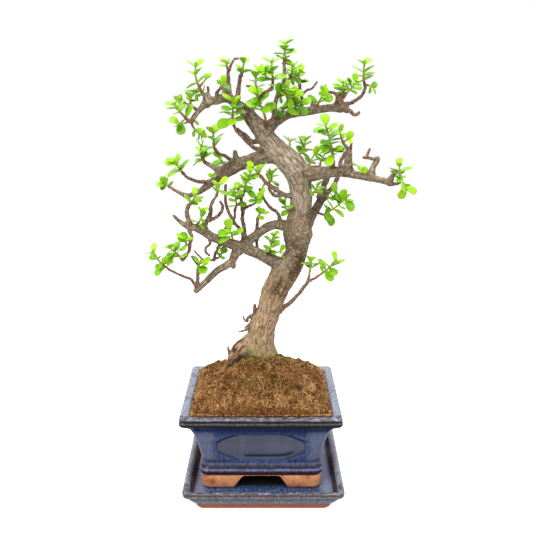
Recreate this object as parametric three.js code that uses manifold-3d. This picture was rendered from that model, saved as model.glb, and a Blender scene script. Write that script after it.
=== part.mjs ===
// Potted dwarf jade bonsai: glazed pot and saucer, soil mound, woody tree and leafy sprays.
// Millimetres, +Z up, the front of the pot faces -Y, origin under the saucer's centre on the table.

import * as THREE from 'three';
import { mergeVertices } from 'three/addons/utils/BufferGeometryUtils.js';
import Module from 'manifold-3d';

const wasm = await Module();
wasm.setup();

// Driving dimensions
const gap = 0.3; // clearance between pieces that touch
const tableZ = 0;
const sideStep = 18; // half depth is half width less this, on pot and saucer alike

const saucerRimHalf = 83.5;
const saucerBaseHalf = 69;
const saucerBaseHeight = 5;
const saucerFloorZ = 15.2;
const saucerRimZ = 26;
const saucerLip = 5;
const saucerFloorHalf = 72;

const potShiftX = -2.5; // the pot stands a little off the saucer's centre
const potShiftY = 5;
const footBottomZ = saucerFloorZ + gap;
const footTopZ = 32;
const footHalf = 63.5;
const footWall = 11;
const archWidthBottom = 59;
const archWidthTop = 38;
const sideArchWidthBottom = 38;
const sideArchWidthTop = 24;
const potFloorZ = 36;
const beadZ = 37.5;
const beadHalf = 65;
const waistZ = 44.5;
const waistHalf = 61.8;
const rimUnderZ = 99.8;
const rimTopZ = 106;
const rimHalf = 82;
const rimWidth = 10;
const potWall = 6.5;
const panelMidZ = 66.5;
const panelHalfHeight = 17;
const panelHalfWidth = 46;
const sidePanelHalfWidth = 28;
const panelDepth = 1.2;
const panelLean = 13; // degrees that the wall leans out
const drainX = 30;
const drainRadius = 7;

const screenSize = 24;
const screenThickness = 1.2;
const screenBar = 1.6;
const screenHoles = 2;

const soilRimZ = 105; // soil level where it meets the pot's wall
const soilCrownRise = 41;
const soilRelief = 1.6;
const soilCorner = 8; // how square the mound is, seen from above
const soilSlope = 0.8; // 1 is a round dome, less is fuller

const leafThickness = 1.5;
const woodTolerance = 0.8; // how far a tube may leave the points it is drawn through
const stemTolerance = 0.3;
const stemSides = 3;
const woodClearance = 0.42; // how much wider the wood is where it is cut out of its neighbours

// The photograph was read on an upright plane through the trunk, from this viewing point
const viewX = 3.2;
const viewY = -611;
const viewZ = 424;
const readingY = 15;

// Solids from closed meshes, and back
function toSolid(geometry) {
  const bare = geometry.clone();
  bare.deleteAttribute('normal');
  bare.deleteAttribute('uv');
  const merged = mergeVertices(bare, 1e-4);
  return new wasm.Manifold(new wasm.Mesh({
    numProp: 3,
    vertProperties: new Float32Array(merged.attributes.position.array),
    triVerts: new Uint32Array(merged.index.array),
  }));
}

function toGeometry(solid) {
  const mesh = solid.getMesh();
  const geometry = new THREE.BufferGeometry();
  const corners = new Float32Array(mesh.numVert * 3);
  for (let i = 0; i < mesh.numVert; i += 1) {
    corners.set(mesh.vertProperties.subarray(i * mesh.numProp, i * mesh.numProp + 3), i * 3);
  }
  geometry.setAttribute('position', new THREE.BufferAttribute(corners, 3));
  geometry.setIndex(Array.from(mesh.triVerts));
  geometry.computeVertexNormals();
  return geometry;
}

function joinAll(solids) {
  return solids.reduce((whole, next) => whole.add(next));
}

function largestBody(solid) {
  const bodies = solid.decompose();
  bodies.sort((a, b) => b.volume() - a.volume());
  return bodies[0];
}

function seededRandom(seed) {
  let state = seed >>> 0;
  return () => {
    state = (state + 0x6d2b79f5) >>> 0;
    let t = state;
    t = Math.imul(t ^ (t >>> 15), t | 1);
    t ^= t + Math.imul(t ^ (t >>> 7), t | 61);
    return ((t ^ (t >>> 14)) >>> 0) / 4294967296;
  };
}

// A closed skin over rings of points, each ring counter-clockwise seen from its far end
function loftRings(rings) {
  const count = rings[0].length;
  const positions = [];
  const index = [];
  for (const ring of rings) {
    for (const point of ring) positions.push(point.x, point.y, point.z);
  }
  for (let k = 0; k + 1 < rings.length; k += 1) {
    for (let i = 0; i < count; i += 1) {
      const a = k * count + i;
      const b = k * count + ((i + 1) % count);
      index.push(a, b, b + count, a, b + count, a + count);
    }
  }
  const capCentre = (ring) => {
    const middle = new THREE.Vector3();
    for (const point of ring) middle.add(point);
    middle.divideScalar(count);
    positions.push(middle.x, middle.y, middle.z);
    return positions.length / 3 - 1;
  };
  const first = capCentre(rings[0]);
  const last = capCentre(rings[rings.length - 1]);
  const top = (rings.length - 1) * count;
  for (let i = 0; i < count; i += 1) {
    const j = (i + 1) % count;
    index.push(first, j, i);
    index.push(last, top + i, top + j);
  }
  const geometry = new THREE.BufferGeometry();
  geometry.setAttribute('position', new THREE.Float32BufferAttribute(positions, 3));
  geometry.setIndex(index);
  return geometry;
}

// One level of a box with rounded corners, as a ring of points, with perSide more on each straight side
function roundedRing(halfX, halfY, radius, z, perCorner = 3, perSide = 0) {
  const ring = [];
  const corners = [[1, 1, 0], [-1, 1, 90], [-1, -1, 180], [1, -1, 270]];
  const cornerPoint = ([sx, sy, start], i) => {
    const angle = THREE.MathUtils.degToRad(start + (90 * i) / perCorner);
    const x = sx * (halfX - radius) + radius * Math.cos(angle);
    const y = sy * (halfY - radius) + radius * Math.sin(angle);
    return new THREE.Vector3(x, y, z);
  };
  corners.forEach((corner, number) => {
    for (let i = 0; i <= perCorner; i += 1) ring.push(cornerPoint(corner, i));
    const from = ring[ring.length - 1];
    const to = cornerPoint(corners[(number + 1) % 4], 0);
    for (let i = 1; i <= perSide; i += 1) ring.push(from.clone().lerp(to, i / (perSide + 1)));
  });
  return ring;
}

function levels(rows) {
  return toSolid(loftRings(rows.map(([z, half, radius]) => roundedRing(half, half - sideStep, radius, z))));
}

function makeSaucer() {
  const body = levels([
    [tableZ, saucerBaseHalf - 0.8, 9],
    [tableZ + 0.8, saucerBaseHalf, 9.5],
    [saucerBaseHeight, saucerBaseHalf, 9.5],
    [saucerBaseHeight + 0.6, saucerBaseHalf + 1.6, 9.5],
    [10, 73.4, 8.5],
    [15, 76.2, 7.5],
    [19.5, 79, 6.5],
    [22, 81.6, 5.5],
    [23.6, saucerRimHalf, 5],
    [saucerRimZ - 0.7, saucerRimHalf, 5],
    [saucerRimZ, saucerRimHalf - 0.8, 4.6],
  ]);
  const dish = levels([
    [saucerFloorZ, saucerFloorHalf - 2, 6],
    [saucerFloorZ + 1.5, saucerFloorHalf, 6.5],
    [21, 75.2, 5],
    [saucerRimZ - 0.8, saucerRimHalf - saucerLip - 0.5, 3.4],
    [saucerRimZ + 1, saucerRimHalf - saucerLip + 0.8, 4],
  ]);
  return body.subtract(dish);
}

// An outline drawn in X and Z, made solid along Y from the front to the back given
function standingPrism(outline, front, back) {
  const shape = new THREE.Shape(outline.map(([x, z]) => new THREE.Vector2(x, z)));
  const geometry = new THREE.ExtrudeGeometry(shape, { depth: back - front, bevelEnabled: false });
  geometry.rotateX(Math.PI / 2);
  geometry.translate(0, back, 0);
  return geometry;
}

function archOutline(bottomWidth, topWidth) {
  const low = footBottomZ - 2;
  const high = footTopZ - 0.8;
  const rounding = 1.4;
  return [
    [-bottomWidth / 2, low], [bottomWidth / 2, low],
    [bottomWidth / 2, footBottomZ + 1],
    [topWidth / 2 + rounding, high - rounding],
    [topWidth / 2 - rounding, high],
    [-topWidth / 2 + rounding, high],
    [-topWidth / 2 - rounding, high - rounding],
    [-bottomWidth / 2, footBottomZ + 1],
  ];
}

function panelCutter(halfWidth, halfDepthAtMiddle) {
  const cornerX = halfWidth * 0.37;
  const cornerZ = panelHalfHeight * 0.5;
  const outline = [
    [-halfWidth, -panelHalfHeight + cornerZ], [-halfWidth + cornerX, -panelHalfHeight],
    [halfWidth - cornerX, -panelHalfHeight], [halfWidth, -panelHalfHeight + cornerZ],
    [halfWidth, panelHalfHeight - cornerZ], [halfWidth - cornerX, panelHalfHeight],
    [-halfWidth + cornerX, panelHalfHeight], [-halfWidth, panelHalfHeight - cornerZ],
  ];
  const cutter = standingPrism(outline, -20, 0);
  cutter.rotateX(THREE.MathUtils.degToRad(panelLean));
  cutter.translate(0, -halfDepthAtMiddle + panelDepth, panelMidZ);
  return cutter;
}

// The pot's hollow, as height, half width and corner radius
const cavityRows = [
  [potFloorZ, waistHalf - potWall - 3, 5],
  [potFloorZ + 4, waistHalf - potWall, 6],
  [72, 67 - potWall, 5],
  [92, 72 - potWall, 5],
  [rimTopZ - 0.8, rimHalf - rimWidth, 4.5],
  [rimTopZ + 1, rimHalf - rimWidth + 0.9, 5],
];

function cavityHalfAt(z) {
  const above = cavityRows.findIndex(([level]) => level > z);
  const [lowZ, lowHalf] = cavityRows[above - 1];
  const [highZ, highHalf] = cavityRows[above];
  return lowHalf + ((highHalf - lowHalf) * (z - lowZ)) / (highZ - lowZ);
}

function makePot() {
  const shell = levels([
    [footTopZ - 1, 62, 8],
    [footTopZ, 63.4, 8],
    [beadZ - 2, beadHalf - 0.4, 9],
    [beadZ, beadHalf, 9],
    [beadZ + 3, beadHalf - 0.8, 9],
    [waistZ, waistHalf, 7.5],
    [56, 63.6, 7],
    [82, 69.6, 5.8],
    [90, 72.6, 5.5],
    [95.5, 77.4, 5.2],
    [rimUnderZ, rimHalf - 0.3, 5],
    [rimTopZ - 0.8, rimHalf, 4.8],
    [rimTopZ, rimHalf - 0.9, 4.4],
  ]);
  const cavity = levels(cavityRows);
  const footOuter = levels([
    [footBottomZ, footHalf - 1.2, 7],
    [footBottomZ + 1.4, footHalf, 8],
    [footTopZ - 1, footHalf, 8],
    [footTopZ, footHalf - 1.6, 8],
  ]);
  const footInner = levels([
    [footBottomZ - 1, footHalf - footWall, 6],
    [footTopZ - 1.2, footHalf - footWall - 1, 6],
  ]);
  const reach = rimHalf + 20;
  const frontArch = toSolid(standingPrism(archOutline(archWidthBottom, archWidthTop), -reach, reach));
  const sideArchShape = standingPrism(archOutline(sideArchWidthBottom, sideArchWidthTop), -reach, reach);
  const sideArch = toSolid(sideArchShape.rotateZ(Math.PI / 2));
  let pot = shell.add(footOuter.subtract(footInner)).subtract(frontArch).subtract(sideArch).subtract(cavity);

  const wallMiddle = 65.8;
  for (const turn of [0, 2]) {
    const cutter = panelCutter(panelHalfWidth, wallMiddle - sideStep).rotateZ((turn * Math.PI) / 2);
    pot = pot.subtract(toSolid(cutter));
  }
  for (const turn of [1, 3]) {
    const cutter = panelCutter(sidePanelHalfWidth, wallMiddle).rotateZ((turn * Math.PI) / 2);
    pot = pot.subtract(toSolid(cutter));
  }
  for (const side of [-1, 1]) {
    const drill = new THREE.CylinderGeometry(drainRadius, drainRadius, 30, 20).rotateX(Math.PI / 2);
    drill.translate(side * drainX, 0, potFloorZ);
    pot = pot.subtract(toSolid(drill));
  }
  return pot.translate([potShiftX, potShiftY, 0]);
}

function makeDrainScreen(side) {
  const z = potFloorZ + gap + screenThickness / 2;
  let plate = toSolid(new THREE.BoxGeometry(screenSize, screenSize, screenThickness));
  const pitch = (screenSize - screenBar) / screenHoles;
  const placeOf = (number) => (number + 0.5 - screenHoles / 2) * pitch;
  for (let i = 0; i < screenHoles; i += 1) {
    for (let j = 0; j < screenHoles; j += 1) {
      const hole = new THREE.BoxGeometry(pitch - screenBar, pitch - screenBar, 4);
      plate = plate.subtract(toSolid(hole.translate(placeOf(i), placeOf(j), 0)));
    }
  }
  return plate.translate([potShiftX + side * drainX, potShiftY, z]);
}

// Height of the soil's crown over a point of the pot, both measured from the pot's centre
function soilHeight(x, y) {
  const halfX = rimHalf - rimWidth - 1;
  const reach = Math.pow(
    Math.pow(Math.abs(x) / halfX, soilCorner) + Math.pow(Math.abs(y) / (halfX - sideStep), soilCorner),
    1 / soilCorner,
  );
  const dome = Math.pow(1 - Math.min(1, reach) ** 2, soilSlope);
  const lumps = Math.sin(x * 0.31 + 1) * Math.cos(y * 0.37) + 0.7 * Math.sin(x * 0.73 + y * 0.61);
  return soilRimZ + soilCrownRise * dome + soilRelief * lumps * Math.min(1, 3 * dome);
}

function makeSoil(trunkCut) {
  const rings = [potFloorZ + gap, potFloorZ + 4.3, 72, 92, soilRimZ - 1.5].map((z) => {
    const half = cavityHalfAt(z) - gap - 0.1;
    return roundedRing(half, half - sideStep, 6, z, 2, 4);
  });
  const outline = rings[rings.length - 1];
  for (const share of [0.97, 0.91, 0.81, 0.67, 0.5, 0.32, 0.12]) {
    rings.push(outline.map((point) => {
      const x = point.x * share;
      const y = point.y * share;
      return new THREE.Vector3(x, y, soilHeight(x, y));
    }));
  }
  let soil = toSolid(loftRings(rings)).translate([potShiftX, potShiftY, 0]);
  for (const side of [-1, 1]) {
    const height = screenThickness + 2;
    const top = potFloorZ + screenThickness + 2 * gap;
    const pocket = new THREE.BoxGeometry(screenSize + 2 * gap, screenSize + 2 * gap, height);
    pocket.translate(potShiftX + side * drainX, potShiftY, top - height / 2);
    soil = soil.subtract(toSolid(pocket));
  }
  return soil.subtract(trunkCut);
}

// Moves a point read on the upright plane along its line of sight to its own depth
function seat(x, z, y) {
  const share = (y - viewY) / (readingY - viewY);
  return { point: new THREE.Vector3(viewX + share * (x - viewX), y, viewZ + share * (z - viewZ)), share };
}

const limbRows = new Map(); // name -> rows of [x, z, depth, radius] as read
const nearestOn = (name, x, z) => {
  const rows = limbRows.get(name);
  let best = { distance: Infinity };
  for (let i = 0; i + 1 < rows.length; i += 1) {
    const [ax, az, ay, ar] = rows[i];
    const [bx, bz, by, br] = rows[i + 1];
    const along = (x - ax) * (bx - ax) + (z - az) * (bz - az);
    const t = Math.min(1, Math.max(0, along / ((bx - ax) ** 2 + (bz - az) ** 2)));
    const px = ax + t * (bx - ax);
    const pz = az + t * (bz - az);
    const distance = Math.hypot(x - px, z - pz);
    if (distance < best.distance) {
      best = { distance, x: px, z: pz, y: ay + t * (by - ay), r: ar + t * (br - ar) };
    }
  }
  return best;
};

function limb(name, rows) {
  limbRows.set(name, rows);
}

// A twig starts on its parent's axis and changes depth evenly by gain along its way
function twig(name, parent, gain, startRadius, endRadius, path) {
  const root = nearestOn(parent, path[0][0], path[0][1]);
  const way = [[root.x, root.z], ...path.filter(([x, z]) => Math.hypot(x - root.x, z - root.z) > 0.6)];
  const lengths = [0];
  for (let i = 1; i < way.length; i += 1) {
    lengths.push(lengths[i - 1] + Math.hypot(way[i][0] - way[i - 1][0], way[i][1] - way[i - 1][1]));
  }
  const total = lengths[lengths.length - 1];
  limbRows.set(name, way.map(([x, z], i) => {
    const t = lengths[i] / total;
    return [x, z, root.y + gain * t, startRadius + (endRadius - startRadius) * t];
  }));
}

function seatedWay(name, widen = 0) {
  return limbRows.get(name).map(([x, z, y, r]) => {
    const { point, share } = seat(x, z, y);
    return { point, radius: r * share + widen };
  });
}

// Leaves out the points that a straight, evenly tapered stretch passes within the tolerance
function thinned(way, tolerance) {
  const kept = [way[0]];
  for (let i = 1; i + 1 < way.length; i += 1) {
    const from = kept[kept.length - 1];
    const line = way[i + 1].point.clone().sub(from.point);
    const step = way[i].point.clone().sub(from.point);
    const t = step.dot(line) / line.lengthSq();
    const sag = step.addScaledVector(line, -t).length();
    const swell = Math.abs(from.radius + t * (way[i + 1].radius - from.radius) - way[i].radius);
    if (sag + swell > tolerance) kept.push(way[i]);
  }
  return [...kept, way[way.length - 1]];
}

// A tapered tube through the points, its section carried along without twist
function tube(fullWay, sides, tolerance) {
  const way = thinned(fullWay, tolerance);
  const rings = [];
  let across = new THREE.Vector3();
  way.forEach(({ point, radius }, i) => {
    const before = way[Math.max(0, i - 1)].point;
    const after = way[Math.min(way.length - 1, i + 1)].point;
    const along = after.clone().sub(before).normalize();
    if (i === 0) {
      across = new THREE.Vector3(0, 1, 0).cross(along);
      if (across.length() < 0.2) across = new THREE.Vector3(1, 0, 0).cross(along);
    }
    across.addScaledVector(along, -across.dot(along)).normalize();
    const other = along.clone().cross(across);
    rings.push(Array.from({ length: sides }, (_, k) => {
      const angle = (2 * Math.PI * k) / sides;
      return point.clone()
        .addScaledVector(across, radius * Math.cos(angle))
        .addScaledVector(other, radius * Math.sin(angle));
    }));
  });
  return toSolid(loftRings(rings));
}

// The woody tree, read off the photograph: x, z, depth and radius of each limb's axis
limb('trunk', [
  [-2, 118, 15, 12], [-2, 140, 15, 15.5], [-3, 152, 15, 15.5], [-3.5, 162, 15, 15], [-2.5, 172, 14.5, 14.5],
  [-0.5, 181, 14, 14], [3, 190, 13, 13.2], [6.8, 200, 12, 12.8], [9.2, 210, 11, 13.2], [13, 220, 10, 13.6],
  [18.6, 230, 10, 14.2], [23.5, 240, 10, 14.6], [29, 249, 11, 13.2], [33.3, 258, 12, 11.6],
  [34.6, 268, 13, 12.8], [35, 279, 14, 15.2], [36, 290, 15, 13.4], [36.8, 300, 15, 11.6],
  [38, 311, 15, 11.2], [37.8, 322, 15, 11.2], [37, 332, 14, 11.8], [34, 342, 13, 13], [27, 352, 12, 12.6],
  [17, 361, 11, 11.4], [8, 370, 10, 10.4], [0.5, 380, 8, 9.4], [-7, 390, 6, 7.8], [-15, 399, 4, 6.4],
  [-23, 407, 2, 4.8], [-28, 411, 0, 3.6],
]);
limb('root_left', [
  [-6, 162, 15, 12], [-17, 156, 12, 10.5], [-26, 150, 9, 8.5], [-32, 143, 7, 6.5], [-35, 132, 6, 5],
]);
limb('root_right', [[2, 156, 16, 10], [7, 148, 18, 7.5], [11, 141, 20, 5.5], [15, 132, 22, 4]]);
limb('low_left', [
  [24, 243, 10, 10], [11, 250, 6, 6.8], [0, 256, 2, 6.1], [-10, 260.5, -3, 5.8], [-20, 264.8, -8, 5.8],
  [-30, 268, -12, 5.4], [-40, 271, -16, 5], [-50, 275, -20, 4.6], [-60, 281, -24, 4.4], [-70, 286, -28, 4.2],
  [-78, 287.5, -31, 3.2], [-85, 292, -34, 2.3], [-92, 299, -37, 1.6],
]);
limb('arch', [
  [30, 285, 14, 7], [20, 288.5, 12, 5.6], [11, 289, 9, 4.9], [3, 286, 5, 4.7], [-5, 280, 0, 4.5],
  [-14, 273, -5, 4.8], [-21, 266, -8, 4.6],
]);
limb('mid_left', [
  [24, 354, 12, 9.5], [8, 359.5, 14, 8], [-4, 357, 18, 7.2], [-15, 353.5, 22, 6.6], [-26, 350, 27, 6.8],
  [-35, 345.5, 31, 6.8], [-42, 341, 34, 6.2], [-50, 334, 38, 4.2], [-58, 328, 42, 3.6], [-65, 323, 45, 3],
  [-72, 320, 48, 2.5], [-78.5, 318.4, 50, 3],
]);
limb('mid_right', [
  [34, 341, 13, 10], [46, 341.5, 8, 8.6], [56, 342, 3, 7], [66, 343, -2, 5.8], [76, 343.3, -7, 5],
  [86, 341.7, -11, 4.4], [96, 339.5, -15, 3.9], [106, 337.4, -19, 3.9], [118, 335, -23, 3.3],
  [127, 332.4, -26, 3.1],
]);
limb('top_left', [
  [-20, 405, 3, 4.4], [-30, 412, -2, 4.4], [-36, 415, -6, 4.6], [-45, 412.5, -10, 4.2], [-54, 411, -14, 4.4],
  [-60, 405.5, -17, 2.9], [-66, 399, -20, 2.6], [-71, 391.5, -23, 2.4],
]);
limb('top_right', [
  [2, 381, 8, 6], [9, 390, 12, 5.8], [16, 395, 17, 5], [24, 399, 22, 4.6], [34, 401, 27, 4.3],
  [45, 402.5, 32, 4.2], [56, 404, 36, 3.9], [68, 405.5, 40, 4], [76, 405, 43, 4.3], [82, 405, 45, 3],
]);
limb('crown', [
  [0, 372, 4, 4], [4, 380, 2, 3.2], [8, 389, 0, 2.7], [10.5, 398, -1, 2.4], [11.5, 408, -1, 2.3],
  [13.5, 416, 1, 2.2], [17, 424, 3, 2.1], [20, 431, 5, 2], [20.5, 438, 6, 1.9], [20, 446, 7, 1.7],
]);

twig('low_hanging', 'low_left', -24, 4.4, 3.2, [
  [-24, 265], [-29, 258.5], [-33, 250], [-39, 245.5], [-47, 241], [-55, 233.5], [-62, 226.5], [-68, 221],
  [-72, 217.5],
]);
twig('low_hanging_stub', 'low_hanging', -3, 2.4, 2.1, [[-33, 249], [-31, 243.6]]);
twig('low_hanging_rise', 'low_hanging', 4, 2.1, 1.7, [[-70, 220], [-69.3, 230], [-68.6, 240]]);
twig('low_hanging_reach', 'low_hanging', -8, 1.7, 1.1, [
  [-70, 220], [-73, 226.5], [-77, 231], [-84, 234], [-91, 237], [-98, 240.5],
]);
twig('low_loop', 'low_left', 9, 1.8, 1.4, [[-44, 270], [-47.5, 264], [-50, 258], [-51, 252]]);
twig('low_loop_foot', 'low_loop', 6, 1.2, 0.9, [
  [-51, 252], [-57, 251.2], [-62, 252], [-67, 256], [-72, 261.5],
]);
twig('low_curl', 'low_left', -7, 1.6, 1.2, [
  [-55, 275], [-55.5, 269], [-59.5, 265], [-60, 260], [-56, 256.5],
]);
twig('far_rise', 'low_left', 9, 2.8, 1.9, [
  [-77, 287], [-76.4, 292], [-77.5, 298], [-78, 304], [-76.5, 309],
]);
twig('near_rise', 'low_left', -10, 3, 1.3, [
  [-62, 283], [-60, 290], [-56.5, 296], [-53.5, 302], [-53.5, 308], [-51, 314], [-47.5, 319],
]);
twig('near_rise_arm', 'near_rise', -12, 2.1, 1.4, [
  [-57, 295], [-51, 295], [-46, 298.5], [-42.5, 303], [-41.5, 308], [-43.5, 313],
]);
twig('climber', 'low_left', -22, 1.9, 1.4, [
  [-20, 268], [-21.5, 280], [-27, 288], [-31, 293], [-34, 299], [-37, 306], [-38.2, 313], [-38.4, 322],
  [-37.8, 330],
]);
twig('riser', 'arch', 14, 2.3, 1.5, [
  [-19, 270], [-19.8, 279], [-20.3, 287], [-21.2, 296], [-21.2, 304], [-21.6, 311], [-23, 319], [-26, 328],
]);
twig('riser_arm', 'riser', -10, 1.5, 1, [[-21, 305], [-15, 308], [-10, 310.5], [-7, 312.5]]);
twig('creeper', 'low_left', 12, 1.6, 1.2, [
  [-42, 274], [-41.5, 281], [-37, 286.8], [-31.5, 290.5], [-29.5, 297], [-29, 304],
]);
twig('arch_stub', 'arch', -5, 1.7, 1.5, [[-6, 281], [-6.2, 288], [-6, 295]]);
twig('arch_drop', 'arch', 1, 1.6, 1.6, [[-6.5, 278], [-6.8, 271], [-6.5, 262]]);
twig('inner_rise', 'arch', -18, 1.9, 1.2, [
  [17, 290], [15.5, 299.5], [10, 305], [5, 309], [1.5, 314], [-1, 319.5], [-4, 326],
]);
twig('inner_arm', 'trunk', -16, 3, 2.2, [[30, 319], [21, 320], [13, 325]]);
twig('inner_fork', 'inner_arm', -8, 1.9, 1.4, [[18, 320.5], [12, 319], [8, 322], [5.5, 327]]);
twig('right_hanging', 'trunk', 14, 5, 4.2, [[40, 286], [47, 295], [52, 303], [56, 310], [59, 316]]);
twig('right_hanging_rise', 'right_hanging', 8, 3.2, 2.3, [
  [58.5, 315], [60, 322], [61.5, 330], [64.5, 338], [67, 346], [68, 353],
]);
twig('right_hanging_far', 'right_hanging', 12, 2.5, 1.7, [
  [58, 313.5], [66, 323], [71, 330], [75, 338], [76.2, 347], [78, 355], [81, 362],
]);
twig('right_low', 'trunk', -14, 2.5, 1.7, [
  [16, 196], [24, 201], [30, 206], [36, 213], [41, 220], [46, 226],
]);
twig('right_rise', 'mid_right', -4, 4.8, 3, [[84, 343], [84.5, 350], [85, 357], [85.3, 363]]);
twig('right_rise_left', 'right_rise', 3, 2, 1.3, [[85, 362], [82.5, 367], [79.5, 371]]);
twig('right_rise_right', 'right_rise', -2, 1.8, 0.9, [[85.5, 362], [86.6, 368], [88.2, 372.5]]);
twig('far_stub', 'mid_right', 6, 3.2, 2.7, [
  [108, 338], [108.8, 344], [110.5, 349.5], [113, 353.5], [113.6, 357],
]);
twig('far_stub_arm', 'far_stub', -8, 1.6, 1.3, [[112, 355.5], [106, 356.6], [99.5, 357.7]]);
twig('far_stub_bud', 'far_stub_arm', 2, 1.3, 1.3, [[102.5, 357.5], [104, 361.5], [105.6, 365.5]]);
twig('end_rise', 'mid_right', 5, 2.5, 2, [[127, 333], [129, 338], [131.8, 342], [133.6, 344.4]]);
twig('end_reach', 'mid_right', -3, 1.9, 1.3, [[126, 332], [131, 330.8], [136.4, 331.8]]);
twig('knob_far', 'top_left', -2, 3.9, 3.4, [[-54, 410], [-54.8, 417.5]]);
twig('knob_near', 'top_left', 2, 4.6, 4.2, [[-35, 414], [-35.2, 424.5]]);
twig('knob_stub', 'top_left', -4, 1.3, 1.1, [[-52, 412], [-53, 419], [-53.5, 425]]);
twig('knob_branch', 'knob_near', -3, 2.3, 1.5, [[-35, 423], [-34, 432], [-33, 440]]);
twig('knob_dead', 'knob_branch', 4, 1.2, 0.9, [[-33, 440], [-30, 446.5], [-27, 450.5], [-23.5, 451]]);
twig('near_branch', 'top_left', 9, 2.5, 1.7, [[-27, 410], [-24.3, 418], [-23.5, 427], [-21.5, 435]]);
twig('side_branch', 'top_left', -8, 1.8, 1.3, [[-43, 413], [-44.5, 418.5], [-41, 424]]);
twig('middle_dead', 'trunk', 14, 2, 1.3, [[-14, 399], [-8, 407], [-1, 413]]);
twig('left_thin', 'trunk', -16, 2.2, 1.3, [
  [-1, 366], [-9, 367], [-14, 371], [-20, 377], [-26, 383], [-29, 389],
]);
twig('left_thin_mate', 'trunk', -7, 2.4, 1.8, [[-3, 374], [-12, 373.5], [-17, 378], [-22, 382], [-26, 385]]);
twig('left_stub', 'mid_left', -3, 2.5, 2.3, [[-27, 351], [-27.5, 357], [-28, 363.4]]);
twig('left_lift', 'mid_left', -12, 2, 1.4, [[-29, 352], [-34, 356.2], [-40, 359.5], [-46, 362.5]]);
twig('left_outer', 'mid_left', 8, 3.6, 1.8, [[-41, 342.5], [-47, 346.5], [-53, 349.7], [-58, 352.3]]);
twig('left_far', 'mid_left', -12, 1.9, 1.3, [
  [-52, 332], [-60, 332.8], [-68, 334], [-75, 337], [-80.5, 341.5],
]);
twig('left_tip', 'mid_left', 12, 1.8, 1.3, [[-78, 319], [-85, 322], [-90, 325], [-94.5, 328]]);
twig('top_low_stub', 'top_right', 3, 1.9, 1.5, [[80, 404], [85, 402], [90, 398.8], [93.5, 400.6]]);
twig('top_stub', 'top_right', 4, 2.6, 2.4, [[49, 403], [49, 411]]);
twig('top_right_reach', 'top_right', 8, 2, 1.3, [
  [79, 406], [86, 410.5], [91, 413], [95, 416], [97.5, 420.5], [98.6, 425],
]);
twig('top_right_arch', 'top_right', -9, 1.7, 1.3, [[70.5, 406], [71.5, 415.5], [69, 419], [63, 420.3]]);
twig('top_middle', 'top_right', -10, 2, 1.4, [[36, 402], [38, 411], [36, 418.5], [35.3, 426]]);
twig('top_middle_arm', 'top_middle', 6, 1.3, 0.9, [[37, 417], [42, 421.5], [46, 423], [52, 429.5]]);
twig('base_stub', 'trunk', -5, 2.2, 1.7, [[-5, 186], [-12, 187.5], [-10, 192], [-9, 202]]);
twig('base_hook', 'trunk', -4, 1.9, 1.5, [[-4, 183], [-13, 190], [-16.5, 187.5], [-17.5, 183]]);
twig('base_twig', 'base_hook', 1, 1.1, 0.9, [[-17.5, 184], [-20, 184.5], [-22, 189]]);
twig('base_knot', 'trunk', -6, 2.6, 1.9, [[-6, 178], [-16, 177.5], [-18.8, 174.5]]);
twig('base_thorn', 'base_knot', -1, 1, 0.8, [[-18, 174], [-22, 172.5], [-26.5, 171.4]]);
twig('root_spike', 'root_left', -2, 2, 0.9, [[-33, 143], [-37, 147], [-38.6, 154]]);

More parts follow.
